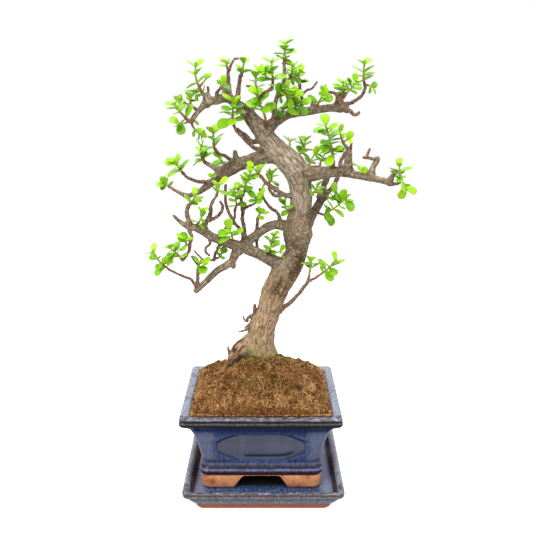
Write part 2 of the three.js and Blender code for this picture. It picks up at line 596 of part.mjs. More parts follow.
// Leafy shoots: name, what each grows from, depth gained, foot radius, path, pairs of leaves, leaf length.
// A shoot that grows from another shoot belongs to that one's spray, and one with no leaves is its twig.
const shoots = [
  ['corner_top', 'knob_far', -4, 1.6, [[-57, 417], [-61, 423], [-64, 430], [-65, 437], [-64.6, 444]], 3, 10],
  ['corner_top_side', 'corner_top', -5, 0.9, [[-61.5, 425], [-57, 430], [-54.5, 433]], 1, 7],
  ['corner_arm', 'top_left', 10, 1.4, [[-64, 402], [-69, 406.5], [-76, 410]], 0, 0],
  ['corner_arm_end', 'corner_arm', 3, 1, [[-76, 410], [-80, 411.5]], 1, 8],
  ['corner_arm_rise', 'corner_arm', -4, 1.1, [[-71, 408], [-70.5, 413], [-67, 420]], 2, 8],
  ['corner_left', 'top_left', -4, 1.5, [
    [-71, 392], [-76, 395.5], [-80, 400], [-83, 404], [-86, 408.5]], 3, 11],
  ['corner_left_low', 'corner_left', -6, 1, [[-73.5, 392.5], [-79, 390.5], [-82.5, 391]], 1, 11],
  ['corner_down', 'top_left', 8, 1.3, [[-68.4, 395.6], [-69.6, 388], [-66, 383.5], [-61, 379]], 2, 8],
  ['knob_tip', 'knob_branch', -2, 1.3, [[-33.4, 440], [-35.2, 444.5], [-35.4, 448]], 2, 7],
  ['near_tip', 'near_branch', -2, 1.4, [[-21.4, 435], [-19.6, 441], [-18.6, 447]], 2, 9],
  ['side_tip', 'side_branch', -3, 1.2, [[-41, 424], [-38.5, 428]], 1, 8],
  ['front_shoot', 'left_thin', -8, 1.3, [[-29, 389], [-30, 396], [-29.6, 404], [-30.4, 412]], 4, 11],
  ['middle_shoot', 'trunk', -23, 1.5, [[2, 384], [2.5, 394], [0, 401], [-3.5, 410], [-7, 418]], 3, 11],
  ['middle_arm', 'trunk', -15, 2.5, [[-19, 404], [-12, 411], [-5, 414], [2, 419.5], [8, 422.5]], 0, 0],
  ['middle_high', 'middle_arm', -3, 1.4, [[8, 422.5], [9.5, 430], [8.5, 438], [8.3, 447.5]], 3, 10],
  ['middle_fan', 'middle_high', -8, 0.9, [[9.2, 431], [4, 433.6], [0.5, 438]], 2, 9],
  ['middle_side', 'middle_arm', 6, 1.2, [[-5, 414], [-6.5, 424], [-7.5, 432], [-4.5, 440]], 3, 8],
  ['crown_tip', 'crown', 2, 1.4, [[20, 446], [20.4, 453], [21, 464]], 4, 9],
  ['crown_side', 'crown', -6, 1.1, [[19.5, 430], [26, 433], [32, 436], [35, 438.5]], 2, 8],
  ['crown_side_up', 'crown_side', -4, 0.9, [[26, 433], [27.6, 439], [28, 444]], 2, 8],
  ['crown_low', 'crown', -9, 1.1, [[13, 415], [20, 418], [24, 423]], 2, 9],
  ['crown_low_far', 'crown_low', -5, 0.9, [[20, 418], [26, 415.6], [30.4, 416.6]], 2, 9],
  ['top_middle_tip', 'top_middle', -3, 1.2, [[35.3, 426], [34.4, 433], [31.6, 440]], 3, 9],
  ['leaf_fan', 'top_right', -12, 1.2, [[30, 400], [31.5, 405], [35, 410.5]], 2, 13],
  ['hanging_fan', 'top_right', -14, 1.1, [[22, 398], [20, 402], [18, 405]], 1, 11],
  ['top_near', 'top_right', -8, 1.3, [[52, 404], [54, 410.5], [57, 415.5]], 2, 11],
  ['arch_tip', 'top_right_arch', -3, 1.1, [[63, 420.3], [59, 421]], 1, 7],
  ['top_knob', 'top_right', -6, 4.2, [[75, 406], [74.6, 417]], 0, 0],
  ['knob_shoot', 'top_knob', -2, 1.5, [[76, 416], [77, 421], [77, 428]], 2, 10],
  ['red_shoot', 'top_knob', -12, 1.2, [[77, 414], [81, 419.5], [86, 424.5], [88.6, 430]], 2, 9],
  ['reach_tip', 'top_right_reach', -4, 1.3, [[98.6, 425], [97, 431], [96.4, 438], [96.8, 446]], 3, 12],
  ['reach_side', 'reach_tip', -5, 0.9, [[98.2, 427], [102.5, 426], [106, 424.6]], 1, 8],
  ['lift_tip', 'left_lift', -3, 1.4, [[-46, 362.5], [-48.6, 368], [-49.2, 374], [-49.2, 381]], 3, 12],
  ['outer_tip', 'left_outer', -5, 1.5, [[-58, 352.3], [-61, 357], [-62.2, 363], [-61.4, 368]], 3, 10],
  ['mid_leaves', 'mid_left', -12, 1.3, [[-36, 346.5], [-40.5, 353], [-43.5, 357]], 2, 9],
  ['low_leaf', 'mid_left', -8, 1.1, [[-45, 338], [-49.5, 339]], 1, 8],
  ['far_tip', 'left_far', -5, 1.2, [[-80.5, 341.5], [-84.4, 346.8], [-87.5, 352.6]], 3, 11],
  ['left_end', 'left_tip', 5, 1.2, [[-94.5, 328], [-98.5, 331]], 2, 10],
  ['far_crown', 'far_rise', -4, 1.7, [[-76.5, 309], [-73, 312], [-71, 315.4], [-69.6, 318.2]], 2, 10],
  ['elbow', 'low_left', -10, 1.1, [[-69, 288], [-66, 292], [-63.6, 296.5], [-62.2, 303]], 3, 8],
  ['near_rise_tip', 'near_rise', -4, 1.2, [[-47.5, 319], [-45.5, 325], [-44, 330]], 2, 10],
  ['creeper_tip', 'creeper', -4, 1.1, [[-29, 304], [-27.6, 310], [-28.3, 318], [-29.2, 325]], 3, 9],
  ['riser_fork', 'riser', -14, 1.5, [
    [-22.5, 317], [-19.4, 323], [-18, 329], [-16, 336], [-13.5, 342]], 4, 8],
  ['inner_arm_tip', 'inner_arm', -10, 2.2, [[13, 325], [7, 329], [2, 333.2], [-2, 338]], 0, 0],
  ['inner_tip', 'inner_arm_tip', -6, 1.3, [[-2, 338], [-6, 342.5], [-9.5, 347]], 2, 10],
  ['inner_side', 'inner_arm_tip', -8, 1, [[3, 332.5], [0, 329], [-2, 324.5]], 1, 9],
  ['inner_rise_leaf', 'inner_arm_tip', 6, 1.1, [[4, 331.5], [8, 335], [9, 341]], 2, 10],
  ['arm_tip', 'riser_arm', -3, 1, [[-7, 312.5], [-7.6, 317]], 2, 8],
  ['stub_shoot', 'arch_stub', -3, 1.2, [[-6, 295], [-4.8, 298.6], [-2.4, 302]], 2, 8],
  ['limb_leaf', 'low_left', -12, 1.3, [[-32, 269], [-32.2, 277], [-34.4, 283]], 2, 12],
  ['under_leaf', 'low_loop', -8, 1.2, [[-50.5, 253], [-46, 254.5], [-43.6, 259], [-44.8, 264.5]], 2, 7],
  ['rise_crown', 'low_hanging_rise', -4, 1.6, [[-68.6, 240], [-68.2, 243.5], [-66.4, 248]], 2, 11],
  ['reach_end', 'low_hanging_reach', -5, 1.1, [
    [-98, 240.5], [-105, 246.6], [-111, 253.4], [-114, 259.5]], 3, 10],
  ['far_hanging', 'low_left', -10, 2.1, [
    [-76, 286], [-74.8, 279], [-73.6, 275.5], [-75.5, 271.5], [-76.5, 266], [-77.5, 261],
    [-80.5, 255.5], [-84, 251]], 0, 0],
  ['far_hanging_tip', 'far_hanging', -5, 1.4, [[-84, 251], [-88, 255.8], [-92, 260], [-96, 264]], 3, 9],
  ['far_hanging_leaf', 'far_hanging', -7, 1.2, [[-76.5, 266.5], [-80, 269.4], [-80.6, 273]], 2, 10],
  ['mossy_shoot', 'low_left', -9, 1.4, [[5, 255], [7, 263.5], [8.4, 270.5], [10.4, 277.5]], 3, 9],
  ['mossy_side', 'mossy_shoot', -3, 1, [[6.8, 262], [11.5, 259.4], [17, 260.4]], 1, 10],
  ['trunk_shoot', 'trunk', -11, 1.6, [[46, 318], [51.5, 323], [54, 328]], 2, 9],
  ['red_green', 'right_hanging_far', -10, 1.2, [[61, 316], [66, 316.4], [70, 317.5], [73, 321]], 2, 11],
  ['low_right', 'right_hanging', -10, 1.3, [
    [53, 304], [58, 300.4], [63, 300], [69, 304], [75.5, 308.8], [82, 315]], 4, 11],
  ['big_leaf_shoot', 'mid_right', -13, 1.6, [
    [70, 344], [70, 352], [69, 360], [67.2, 369], [64.6, 379], [61.4, 388.4]], 5, 12],
  ['notch_shoot', 'mid_right', 9, 1.5, [[45, 345], [47, 354], [50.5, 360]], 3, 10],
  ['notch_far', 'mid_right', 4, 1.4, [[56, 345], [57.5, 354], [61, 361]], 2, 9],
  ['shoulder', 'trunk', 6, 1.6, [[30, 352], [36.4, 360.4], [40.5, 367], [41.4, 373.6]], 3, 10],
  ['shoulder_small', 'trunk', -4, 1.4, [[20, 358], [25.8, 368], [26.2, 373.4]], 2, 9],
  ['right_crown', 'right_rise_left', 4, 1.3, [[79.5, 371], [77.8, 375.5], [76, 380.6]], 2, 10],
  ['right_crown_side', 'right_crown', -4, 0.9, [[79, 372.6], [83, 375]], 1, 10],
  ['right_blade', 'right_rise', -10, 1.2, [[86.5, 350], [91, 350.5], [96, 348]], 1, 11],
  ['end_crown', 'end_reach', -2, 1.3, [[136.4, 331.8], [137.2, 338], [136, 348.5]], 3, 9],
  ['end_drop', 'end_crown', -4, 1.1, [[136.6, 333], [141, 331.4], [143.4, 327.4]], 2, 12],
  ['low_fork', 'right_low', 5, 1.6, [[46, 226], [47.5, 232], [48.6, 241], [48.8, 250]], 2, 11],
  ['low_fork_far', 'low_fork', -12, 1.4, [
    [47.4, 229], [53, 231], [58, 234.5], [64, 239], [69, 243.4], [74.6, 251]], 3, 11],
  ['trunk_left_shoot', 'trunk', -9, 1.4, [[27, 302], [22.4, 308], [22.6, 315.4]], 3, 8],
];

const sprayOf = new Map(); // shoot name -> the name of the spray that holds it
for (const [name, parent, gain, footRadius, path, pairs] of shoots) {
  twig(name, parent, gain, footRadius, pairs > 0 ? 0.8 : 0.65 * footRadius, path);
  sprayOf.set(name, sprayOf.get(parent) ?? name);
}

// Where the leaves of one shoot sit: opposite pairs, each turned a quarter from the last
function leafSeats(name, pairs, leafLength, seed) {
  const random = seededRandom(seed);
  const way = seatedWay(name);
  const lengths = [0];
  for (let i = 1; i < way.length; i += 1) {
    lengths.push(lengths[i - 1] + way[i].point.distanceTo(way[i - 1].point));
  }
  const total = lengths[lengths.length - 1];
  const firstTurn = random() * Math.PI;
  const seats = [];
  const pitch = Math.min(7.5, (total - 4) / Math.max(1, pairs - 1 + 0.4));
  for (let pair = 0; pair < pairs; pair += 1) {
    const distance = total - 0.6 - pair * pitch * (0.92 + 0.16 * random());
    let i = 1;
    while (i < way.length - 1 && lengths[i] < distance) i += 1;
    const t = (distance - lengths[i - 1]) / (lengths[i] - lengths[i - 1]);
    const base = way[i - 1].point.clone().lerp(way[i].point, t);
    const along = way[i].point.clone().sub(way[i - 1].point).normalize();
    const across = new THREE.Vector3(0, 1, 0).cross(along);
    if (across.length() < 0.3) across.set(1, 0, 0).cross(along);
    across.normalize();
    const other = along.clone().cross(across);
    for (const half of [0, 1]) {
      const turn = firstTurn + pair * (Math.PI / 2) + half * Math.PI + (random() - 0.5) * 0.5;
      const lift = THREE.MathUtils.degToRad(48 - 17 * pair + (random() - 0.5) * 18);
      const size = leafLength * [0.85, 1.05, 1.02, 0.95, 0.9][pair] * (0.86 + 0.26 * random());
      const bend = 0.1 + 0.16 * random();
      const tilt = (random() - 0.5) * 0.9;
      seats.push({ base, along, across, other, turn, lift, size, bend, tilt });
    }
  }
  return seats;
}

// Leaves face along their stem and towards the light, above and in front
const towardsLight = new THREE.Vector3(0, -0.55, 0.45);

function leafFrame(leaf, turnBy, liftBy) {
  const outward = leaf.across.clone().multiplyScalar(Math.cos(leaf.turn + turnBy));
  outward.addScaledVector(leaf.other, Math.sin(leaf.turn + turnBy));
  const lift = leaf.lift + liftBy;
  const ahead = outward.clone().multiplyScalar(Math.cos(lift)).addScaledVector(leaf.along, Math.sin(lift));
  ahead.normalize();
  const face = leaf.along.clone().add(towardsLight);
  face.addScaledVector(ahead, -face.dot(ahead)).normalize().applyAxisAngle(ahead, leaf.tilt);
  const side = ahead.clone().cross(face);
  return { base: leaf.base, ahead, face, side, size: leaf.size, bend: leaf.bend };
}

// A point of the leaf: t runs from base to tip, s from side to side, h is the height over its middle
function leafPoint(frame, t, s, h) {
  const lengthwise = frame.size * t;
  return frame.base.clone()
    .addScaledVector(frame.ahead, lengthwise)
    .addScaledVector(frame.side, s)
    .addScaledVector(frame.face, h - frame.bend * frame.size * t * t);
}

const leafHalfWidth = (size, t) => size * 0.82 * Math.sqrt(Math.max(0, 1 - t)) * Math.pow(t, 0.95);

// A closed leaf: its face is flat from side to side, and its back is keeled
function leafSolid(frame) {
  const ringAt = (t, thickness) => {
    const half = leafHalfWidth(frame.size, t);
    const section = [[half, thickness / 3], [-half, thickness / 3], [0, (-thickness * 2) / 3]];
    return section.map(([s, h]) => leafPoint(frame, t, s, h));
  };
  const points = [
    leafPoint(frame, 0, 0, 0), ...ringAt(0.42, leafThickness), ...ringAt(0.8, leafThickness * 0.8),
    leafPoint(frame, 1, 0, 0),
  ];
  const index = [];
  for (let i = 0; i < 3; i += 1) {
    const j = (i + 1) % 3;
    index.push(0, 1 + i, 1 + j);
    index.push(1 + i, 4 + j, 1 + j, 1 + i, 4 + i, 4 + j);
    index.push(4 + i, 7, 4 + j);
  }
  const geometry = new THREE.BufferGeometry();
  const corners = points.flatMap((point) => point.toArray());
  geometry.setAttribute('position', new THREE.Float32BufferAttribute(corners, 3));
  geometry.setIndex(index);
  return toSolid(geometry);
}

// A leaf is turned clear of wood, of other sprays and of leaves already placed, or left out
function segmentGap(point, from, to) {
  const line = to.point.clone().sub(from.point);
  const t = Math.min(1, Math.max(0, point.clone().sub(from.point).dot(line) / line.lengthSq()));
  const radius = from.radius + t * (to.radius - from.radius);
  return point.distanceTo(from.point.clone().addScaledVector(line, t)) - radius;
}

const woodNames = [...limbRows.keys()].filter((name) => !sprayOf.has(name));
const segments = [...limbRows.keys()].flatMap((name) => {
  const way = seatedWay(name);
  return way.slice(1).map((to, i) => ({ from: way[i], to, node: sprayOf.get(name) ?? 'trunk' }));
});
const placedLeaves = [];

function samplesOf(frame) {
  const samples = [];
  for (const t of [0.3, 0.48, 0.66, 0.84, 0.98]) {
    const half = leafHalfWidth(frame.size, t);
    for (const s of [-0.85, 0, 0.85]) samples.push(leafPoint(frame, t, s * half, 0));
  }
  return samples;
}

function isClear(samples, node) {
  for (const { from, to, node: owner } of segments) {
    if (owner === node) continue;
    const reach = from.point.distanceTo(samples[6]) - from.point.distanceTo(to.point);
    if (reach > 30) continue;
    if (samples.some((sample) => segmentGap(sample, from, to) < 1.3)) return false;
  }
  for (const other of placedLeaves) {
    if (other.samples[6].distanceTo(samples[6]) > 18) continue;
    const near = other.node === node ? 1.2 : 1.9;
    if (samples.some((a) => other.samples.some((b) => a.distanceTo(b) < near))) return false;
  }
  return true;
}

const leafTries = [
  [0, 0], [0.5, 0], [-0.5, 0], [0.25, 0.4], [-0.25, -0.4], [0.9, 0.2], [-0.9, 0.2], [0, 0.7],
];

function placeLeaves() {
  shoots.forEach(([name, , , , , pairs, leafLength], number) => {
    const node = sprayOf.get(name);
    for (const leaf of leafSeats(name, pairs, leafLength, 4100 + number)) {
      for (const [turnBy, liftBy] of leafTries) {
        const frame = leafFrame(leaf, turnBy, liftBy);
        const samples = samplesOf(frame);
        if (isClear(samples, node)) {
          placedLeaves.push({ node, frame, samples });
          break;
        }
      }
    }
  });
}

function sidesFor(radius) {
  if (radius > 9) return 9;
  if (radius > 4) return 6;
  return radius > 2.6 ? 5 : 4;
}

function makeWood(widen) {
  return joinAll(woodNames.map((name) => {
    const way = seatedWay(name, widen);
    return tube(way, sidesFor(way[1].radius - widen), woodTolerance);
  }));
}

const part = new THREE.Group();

function addNode(name, solid, colour, roughness, metalness = 0) {
  const material = new THREE.MeshStandardMaterial({ color: colour, roughness, metalness });
  const mesh = new THREE.Mesh(toGeometry(solid), material);
  mesh.name = name;
  part.add(mesh);
}

placeLeaves();
const wood = makeWood(0);
const woodCut = makeWood(woodClearance);

addNode('saucer', makeSaucer(), 0x26376e, 0.18);
addNode('pot', makePot(), 0x26376e, 0.18);
addNode('drain_screen_left', makeDrainScreen(-1), 0x1c1c1c, 0.6);
addNode('drain_screen_right', makeDrainScreen(1), 0x1c1c1c, 0.6);
addNode('soil', makeSoil(woodCut), 0x8c5f32, 0.95);
addNode('trunk', wood, 0x8d7d68, 0.85);
for (const spray of new Set(sprayOf.values())) {
  const stems = [...sprayOf.keys()]
    .filter((name) => sprayOf.get(name) === spray)
    .map((name) => tube(seatedWay(name), stemSides, stemTolerance));
  const leaves = placedLeaves.filter(({ node }) => node === spray).map(({ frame }) => leafSolid(frame));
  addNode(`spray_${spray}`, largestBody(joinAll([...stems, ...leaves]).subtract(woodCut)), 0x6cb41c, 0.45);
}

export default part;
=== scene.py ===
import math
import bpy
import numpy as np
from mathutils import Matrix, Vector


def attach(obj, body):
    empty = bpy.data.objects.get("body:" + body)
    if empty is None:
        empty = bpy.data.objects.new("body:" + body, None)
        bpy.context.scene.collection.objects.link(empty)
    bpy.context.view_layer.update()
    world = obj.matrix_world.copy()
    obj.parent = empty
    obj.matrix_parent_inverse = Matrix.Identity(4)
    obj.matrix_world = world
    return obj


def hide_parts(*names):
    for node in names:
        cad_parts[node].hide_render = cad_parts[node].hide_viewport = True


# Potted dwarf jade bonsai: glazed pot and saucer, soil, woody tree and leafy sprays.
# Shapes are worked out in millimetres and put into the meshes in metres.

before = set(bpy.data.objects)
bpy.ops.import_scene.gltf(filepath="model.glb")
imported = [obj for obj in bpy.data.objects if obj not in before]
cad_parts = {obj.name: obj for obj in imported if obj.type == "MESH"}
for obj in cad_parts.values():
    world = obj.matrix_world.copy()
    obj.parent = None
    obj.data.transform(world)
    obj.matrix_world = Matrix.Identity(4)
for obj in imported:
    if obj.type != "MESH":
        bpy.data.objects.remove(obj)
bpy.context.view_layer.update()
bodyName = "root"
millimetre = 0.001
print("frame loaded with", len(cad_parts), "nodes")


def newObject(name, data):
    thing = bpy.data.objects.new(name, data)
    bpy.context.scene.collection.objects.link(thing)
    return thing


# Camera at the photograph's viewing angle

cameraSettings = {
    "eye": (3.2, -611.0, 424.0),
    "pitchDown": 16.0,   # degrees
    "lens": 42.08,       # on a 36 mm sensor
}


def makeCamera():
    # looks to the back, tipped down by the pitch
    data = bpy.data.cameras.new("camera")
    data.lens = cameraSettings["lens"]
    data.sensor_width = 36
    data.clip_start = 0.01
    camera = newObject("camera", data)
    camera.location = Vector(cameraSettings["eye"]) * millimetre
    camera.rotation_euler = (math.radians(90 - cameraSettings["pitchDown"]), 0, 0)
    bpy.context.scene.camera = camera


makeCamera()
print("camera placed")


# Meshes from arrays

def meshFrom(name, points, quads=None, triangles=None, smooth=True):
    # points are rows of x, y, z in millimetres, and faces are rows of point numbers
    faceSets = [faces for faces in (quads, triangles) if faces is not None and len(faces)]
    loops = np.concatenate([faces.ravel() for faces in faceSets]).astype(np.int32)
    counts = np.concatenate([np.full(len(faces), faces.shape[1]) for faces in faceSets])
    starts = (np.cumsum(counts) - counts).astype(np.int32)
    mesh = bpy.data.meshes.new(name)
    mesh.vertices.add(len(points))
    mesh.vertices.foreach_set("co", (np.asarray(points) * millimetre).astype(np.float32).ravel())
    mesh.loops.add(len(loops))
    mesh.loops.foreach_set("vertex_index", loops)
    mesh.polygons.add(len(starts))
    mesh.polygons.foreach_set("loop_start", starts)
    mesh.polygons.foreach_set("use_smooth", np.full(len(starts), smooth))
    mesh.update(calc_edges=True)
    mesh.validate()
    return mesh


def setAttributes(mesh, values):
    # for each name, one number or one vector for each point of the mesh
    for name, table in values.items():
        table = np.asarray(table, np.float32)
        kind, key = ("FLOAT", "value") if table.ndim == 1 else ("FLOAT_VECTOR", "vector")
        mesh.attributes.new(name, kind, "POINT").data.foreach_set(key, table.ravel())


def joinedMesh(name, shapes, shift=(0, 0)):
    # each shape is points, quads, triangles and a dictionary of values for its points
    firsts = np.cumsum([0] + [len(shape[0]) for shape in shapes[:-1]])
    points = np.concatenate([shape[0] for shape in shapes])
    points[:, :2] += shift
    quads, triangles = (np.concatenate([shape[part] + first for shape, first in zip(shapes, firsts)])
                        for part in (1, 2))
    mesh = meshFrom(name, points, quads, triangles)
    setAttributes(mesh, {key: np.concatenate([shape[3][key] for shape in shapes]) for key in shapes[0][3]})
    return mesh


def addPiece(name, mesh, material, node):
    # an object with one material that rides the body and stands for one node
    piece = newObject(name, mesh)
    mesh.materials.append(material)
    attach(piece, bodyName)
    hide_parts(node)
    return piece


def gridQuads(rows, columns):
    # the four-sided faces of a grid stored row by row, each row closed on itself
    row = np.arange(rows - 1)[:, None]
    column = np.arange(columns)[None, :]
    near = row * columns + column
    beside = row * columns + (column + 1) % columns
    return np.stack([near, beside, beside + columns, near + columns], -1).reshape(-1, 4)


def cappedRings(rings, start, end):
    # quads between closed rings of points, and a fan to one point more at either end
    rows, columns = rings.shape[:2]
    count = rows * columns
    ring = np.arange(columns)
    after = np.roll(ring, -1)
    pole = np.full(columns, count)
    last = count - columns
    triangles = np.concatenate([np.stack([pole, after, ring], -1),
                                np.stack([pole + 1, ring + last, after + last], -1)])
    return np.concatenate([rings.reshape(-1, 3), [start], [end]]), gridQuads(rows, columns), triangles


def spreadRows(values, columns):
    # one value for each ring, spread over its points and the two poles
    return np.concatenate([np.repeat(values, columns), values[:1], values[-1:]])


def withPoles(table, start=0, end=0):
    # one value for each point of the rings, and one for each of the two poles
    return np.concatenate([np.ravel(table), [start, end]])


def anglesRound(sides):
    return 2 * np.pi * np.arange(sides) / sides


def unit(vectors):
    return vectors / np.maximum(np.linalg.norm(vectors, axis=-1, keepdims=True), 1e-9)


def levelAcross(along):
    # a direction across another, level where it can be
    across = np.cross((0, 1, 0), along)
    return across if np.linalg.norm(across) >= 0.3 else np.cross((1, 0, 0), along)


def lengthsAlong(points):
    return np.concatenate([[0], np.cumsum(np.linalg.norm(np.diff(points, axis=0), axis=1))])


def cornerNoise(points, seed=0):
    # smooth noise from -1 to 1: a random value at each whole-number corner, eased between corners
    cell = np.floor(points).astype(np.int64)
    inside = points - cell
    ease = inside * inside * (3 - 2 * inside)
    total = np.zeros(len(points))
    for corner in range(8):
        step = np.array([corner & 1, corner >> 1 & 1, corner >> 2 & 1])
        mixed = (cell + step) @ np.array([73856093, 19349663, 83492791]) + seed * 2654435761
        mixed = (mixed ^ (mixed >> 15)) * 2246822519 & 0xFFFFFFFF
        mixed = (mixed ^ (mixed >> 13)) * 3266489917 & 0xFFFFFFFF
        value = ((mixed ^ (mixed >> 16)) & 0xFFFF) / 32767.5 - 1
        total += value * np.prod(np.where(step == 1, ease, 1 - ease), axis=1)
    return total


def layeredNoise(points, seed=0, layers=3):
    # noise summed over layers, each twice as fine and half as strong
    total = sum(cornerNoise(points * 2.0 ** n, seed + n) * 0.5 ** n for n in range(layers))
    return total / sum(0.5 ** n for n in range(layers))


def smoothStep(low, high, values):
    share = np.clip((values - low) / (high - low), 0, 1)
    return share * share * (3 - 2 * share)


def between(values, low, lowEnd, highStart, high):
    # 1 between lowEnd and highStart, easing to 0 at low and high
    return smoothStep(low, lowEnd, values) * (1 - smoothStep(highStart, high, values))


def ridge(values, middle, wide):
    return np.exp(-((values - middle) / wide) ** 2)


def evaluatedMesh(thing):
    # the object's mesh with its modifiers applied
    return bpy.data.meshes.new_from_object(thing.evaluated_get(bpy.context.evaluated_depsgraph_get()))


# Shader nodes: each helper puts a node in the tree being worked on and gives its output.
# A colour is a name from the material's own table, a screen colour of three numbers or a linear one of four.

work = {}


def linearColour(colour):
    # a screen share over 12.92 when it is low, and otherwise a power of 2.4
    if isinstance(colour, str):
        colour = work["colours"][colour]
    if len(colour) == 4:
        return colour
    shares = [value / 255 for value in colour]
    return (*(share / 12.92 if share <= 0.04045 else ((share + 0.055) / 1.055) ** 2.4
              for share in shares), 1.0)


def feed(socket, value):
    if isinstance(value, bpy.types.NodeSocket):
        work["tree"].links.new(value, socket)
    else:
        socket.default_value = linearColour(value) if socket.type == "RGBA" else value


def put(kind, settings=None, **inputs):
    # an input is named as on the node, or i and its number
    node = work["tree"].nodes.new("ShaderNode" + kind)
    for key, value in (settings or {}).items():
        setattr(node, key, value)
    for key, value in inputs.items():
        feed(node.inputs[int(key[1:]) if key[1:].isdigit() else key], value)
    return node


def mixed(share, low, high):
    return put("Mix", {"data_type": "RGBA"}, i0=share, i6=low, i7=high).outputs[2]


def layered(colour, layers):
    # each layer is its share and its colour, laid over what is there
    for share, above in layers:
        colour = mixed(share, colour, above)
    return colour


def ramp(value, *stops):
    # colours at places from 0 to 1, even between them
    node = put("ValToRGB", i0=value)
    elements = node.color_ramp.elements
    while len(elements) < len(stops):
        elements.new(0.5)
    for element, (place, colour) in zip(elements, stops):
        element.position = place
        element.color = linearColour(colour)
    return node.outputs["Color"]


def rescale(value, fromLow, fromHigh, toLow=0.0, toHigh=1.0):
    return put("MapRange", {"interpolation_type": "SMOOTHSTEP"},
               i0=value, i1=fromLow, i2=fromHigh, i3=toLow, i4=toHigh).outputs[0]


def mathOf(operation, first, second):
    return put("Math", {"operation": operation}, i0=first, i1=second).outputs[0]


def times(first, second):
    return mathOf("MULTIPLY", first, second)


def plus(first, second):
    return mathOf("ADD", first, second)


def minus(first, second):
    return mathOf("SUBTRACT", first, second)


def vectorTimes(vector, factors):
    return put("VectorMath", {"operation": "MULTIPLY"}, i0=vector, i1=factors).outputs[0]


def noise(vector, scale, detail=3.0, roughness=0.55, distortion=0.0):
    return put("TexNoise", Vector=vector, Scale=scale, Detail=detail, Roughness=roughness,
               Distortion=distortion).outputs["Fac"]


def attribute(name, output="Fac"):
    return put("Attribute", {"attribute_name": name}).outputs[output]


def placeHere():
    return put("TexCoord").outputs["Object"]


def partOf(vector, axis):
    return put("SeparateXYZ", Vector=vector).outputs[axis]


def bump(height, strength, distance, normal=None):
    node = put("Bump", Height=height, Strength=strength, Distance=distance)
    if normal is not None:
        feed(node.inputs["Normal"], normal)
    return node.outputs[0]


def startMaterial(name, colours, **values):
    material = bpy.data.materials.new(name)
    material.use_nodes = True
    work.update(tree=material.node_tree, colours=colours, material=material,
                shader=material.node_tree.nodes["Principled BSDF"])
    return finishMaterial(**values)


def finishMaterial(**values):
    # feeds the shader's sockets, named without their blanks
    sockets = {socket.name.replace(" ", ""): socket for socket in work["shader"].inputs}
    for key, value in values.items():
        feed(sockets[key], value)
    return work["material"]


def noiseGroup(name, layers):
    # a group of noises in a place pressed together along z: for each its output, whether it is read in
    # the pressed place, and its scale, detail, roughness and distortion
    group = bpy.data.node_groups.new(name, "ShaderNodeTree")
    work["tree"] = group
    for key, kind, start in (("Vector", "NodeSocketVector", (0, 0, 0)), ("Length", "NodeSocketFloat", 0.4)):
        group.interface.new_socket(key, in_out="INPUT", socket_type=kind).default_value = start
    for row in layers:
        group.interface.new_socket(row[0], in_out="OUTPUT", socket_type="NodeSocketFloat")
    entry = group.nodes.new("NodeGroupInput").outputs
    leave = group.nodes.new("NodeGroupOutput").inputs
    pressed = vectorTimes(entry["Vector"], put("CombineXYZ", X=1.0, Y=1.0, Z=entry["Length"]).outputs[0])
    for key, isPressed, *settings in layers:
        feed(leave[key], noise(pressed if isPressed else entry["Vector"], *settings))
    return group


def noisesFrom(group, vector, length):
    node = work["tree"].nodes.new("ShaderNodeGroup")
    node.node_tree = group
    feed(node.inputs["Vector"], vector)
    feed(node.inputs["Length"], length)
    return node.outputs


# The tree is read in the upright plane of the photograph: x, z, depth and radius in millimetres

treeSettings = {
    "readingDepth": 15.0,      # depth of the plane that the rows are read in
    "firstSeed": 4100,         # of the leaves' places
    "stemEnd": 0.8,
    "bareShare": 0.65,         # end radius of a leafless shoot, as a share of its foot
    "leastStep": 0.6,          # mm from a twig's root to its next point
    "leafSizes": (0.85, 1.05, 1.02, 0.95, 0.9),   # from the tip's pair downwards
    # along the stem in mm: largest pitch of the pairs, bare foot, and the first pair's place below the tip
    "largestPitch": 7.5, "bareFoot": 4, "tipPair": 0.6,
    # lift in degrees at the tip, less for each pair below it, and how widely it varies
    "lift": 48, "liftLess": 17, "liftSpread": 18, "turnSpread": 0.5, "tiltSpread": 0.9,
    # the least value, and what a draw from 0 to 1 adds
    "pitchShare": (0.92, 0.16), "sizeShare": (0.86, 0.26), "bend": (0.1, 0.16),
    # half width as a share of the length, and how fast it grows from the foot
    "halfWidth": 0.82, "widthPower": 0.95,
    "fillingLifts": (12, 48), "fillingBends": (0.08, 0.26), "fillingTilts": (-0.5, 0.5), "fillingTurn": 0.45,
    "fillingSizes": (0.6, 0.95),
    "fillingShare": 0.5,       # of the seats between the pairs
    "broadFace": (0.0, -0.75, 0.65),
    "broadLongest": 14.0,
    "broadMiddle": 0.55,       # where along a broad leaf its read middle is
    "towardsLight": (0.0, -0.22, 0.75),
    # clear distances to wood, to leaves of the same spray and to other leaves
    "pairGaps": (1.3, 1.2, 1.9),
    "fillingGaps": (0.7, 0.6, 1.0),
    # turns and lifts tried where a leaf's first place isn't clear
    "woodReach": 30, "leafReach": 18,   # mm beyond which nothing is looked at
    "tries": ((0, 0), (0.5, 0), (-0.5, 0), (0.25, 0.4), (-0.25, -0.4), (0.9, 0.2), (-0.9, 0.2), (0, 0.7)),
}
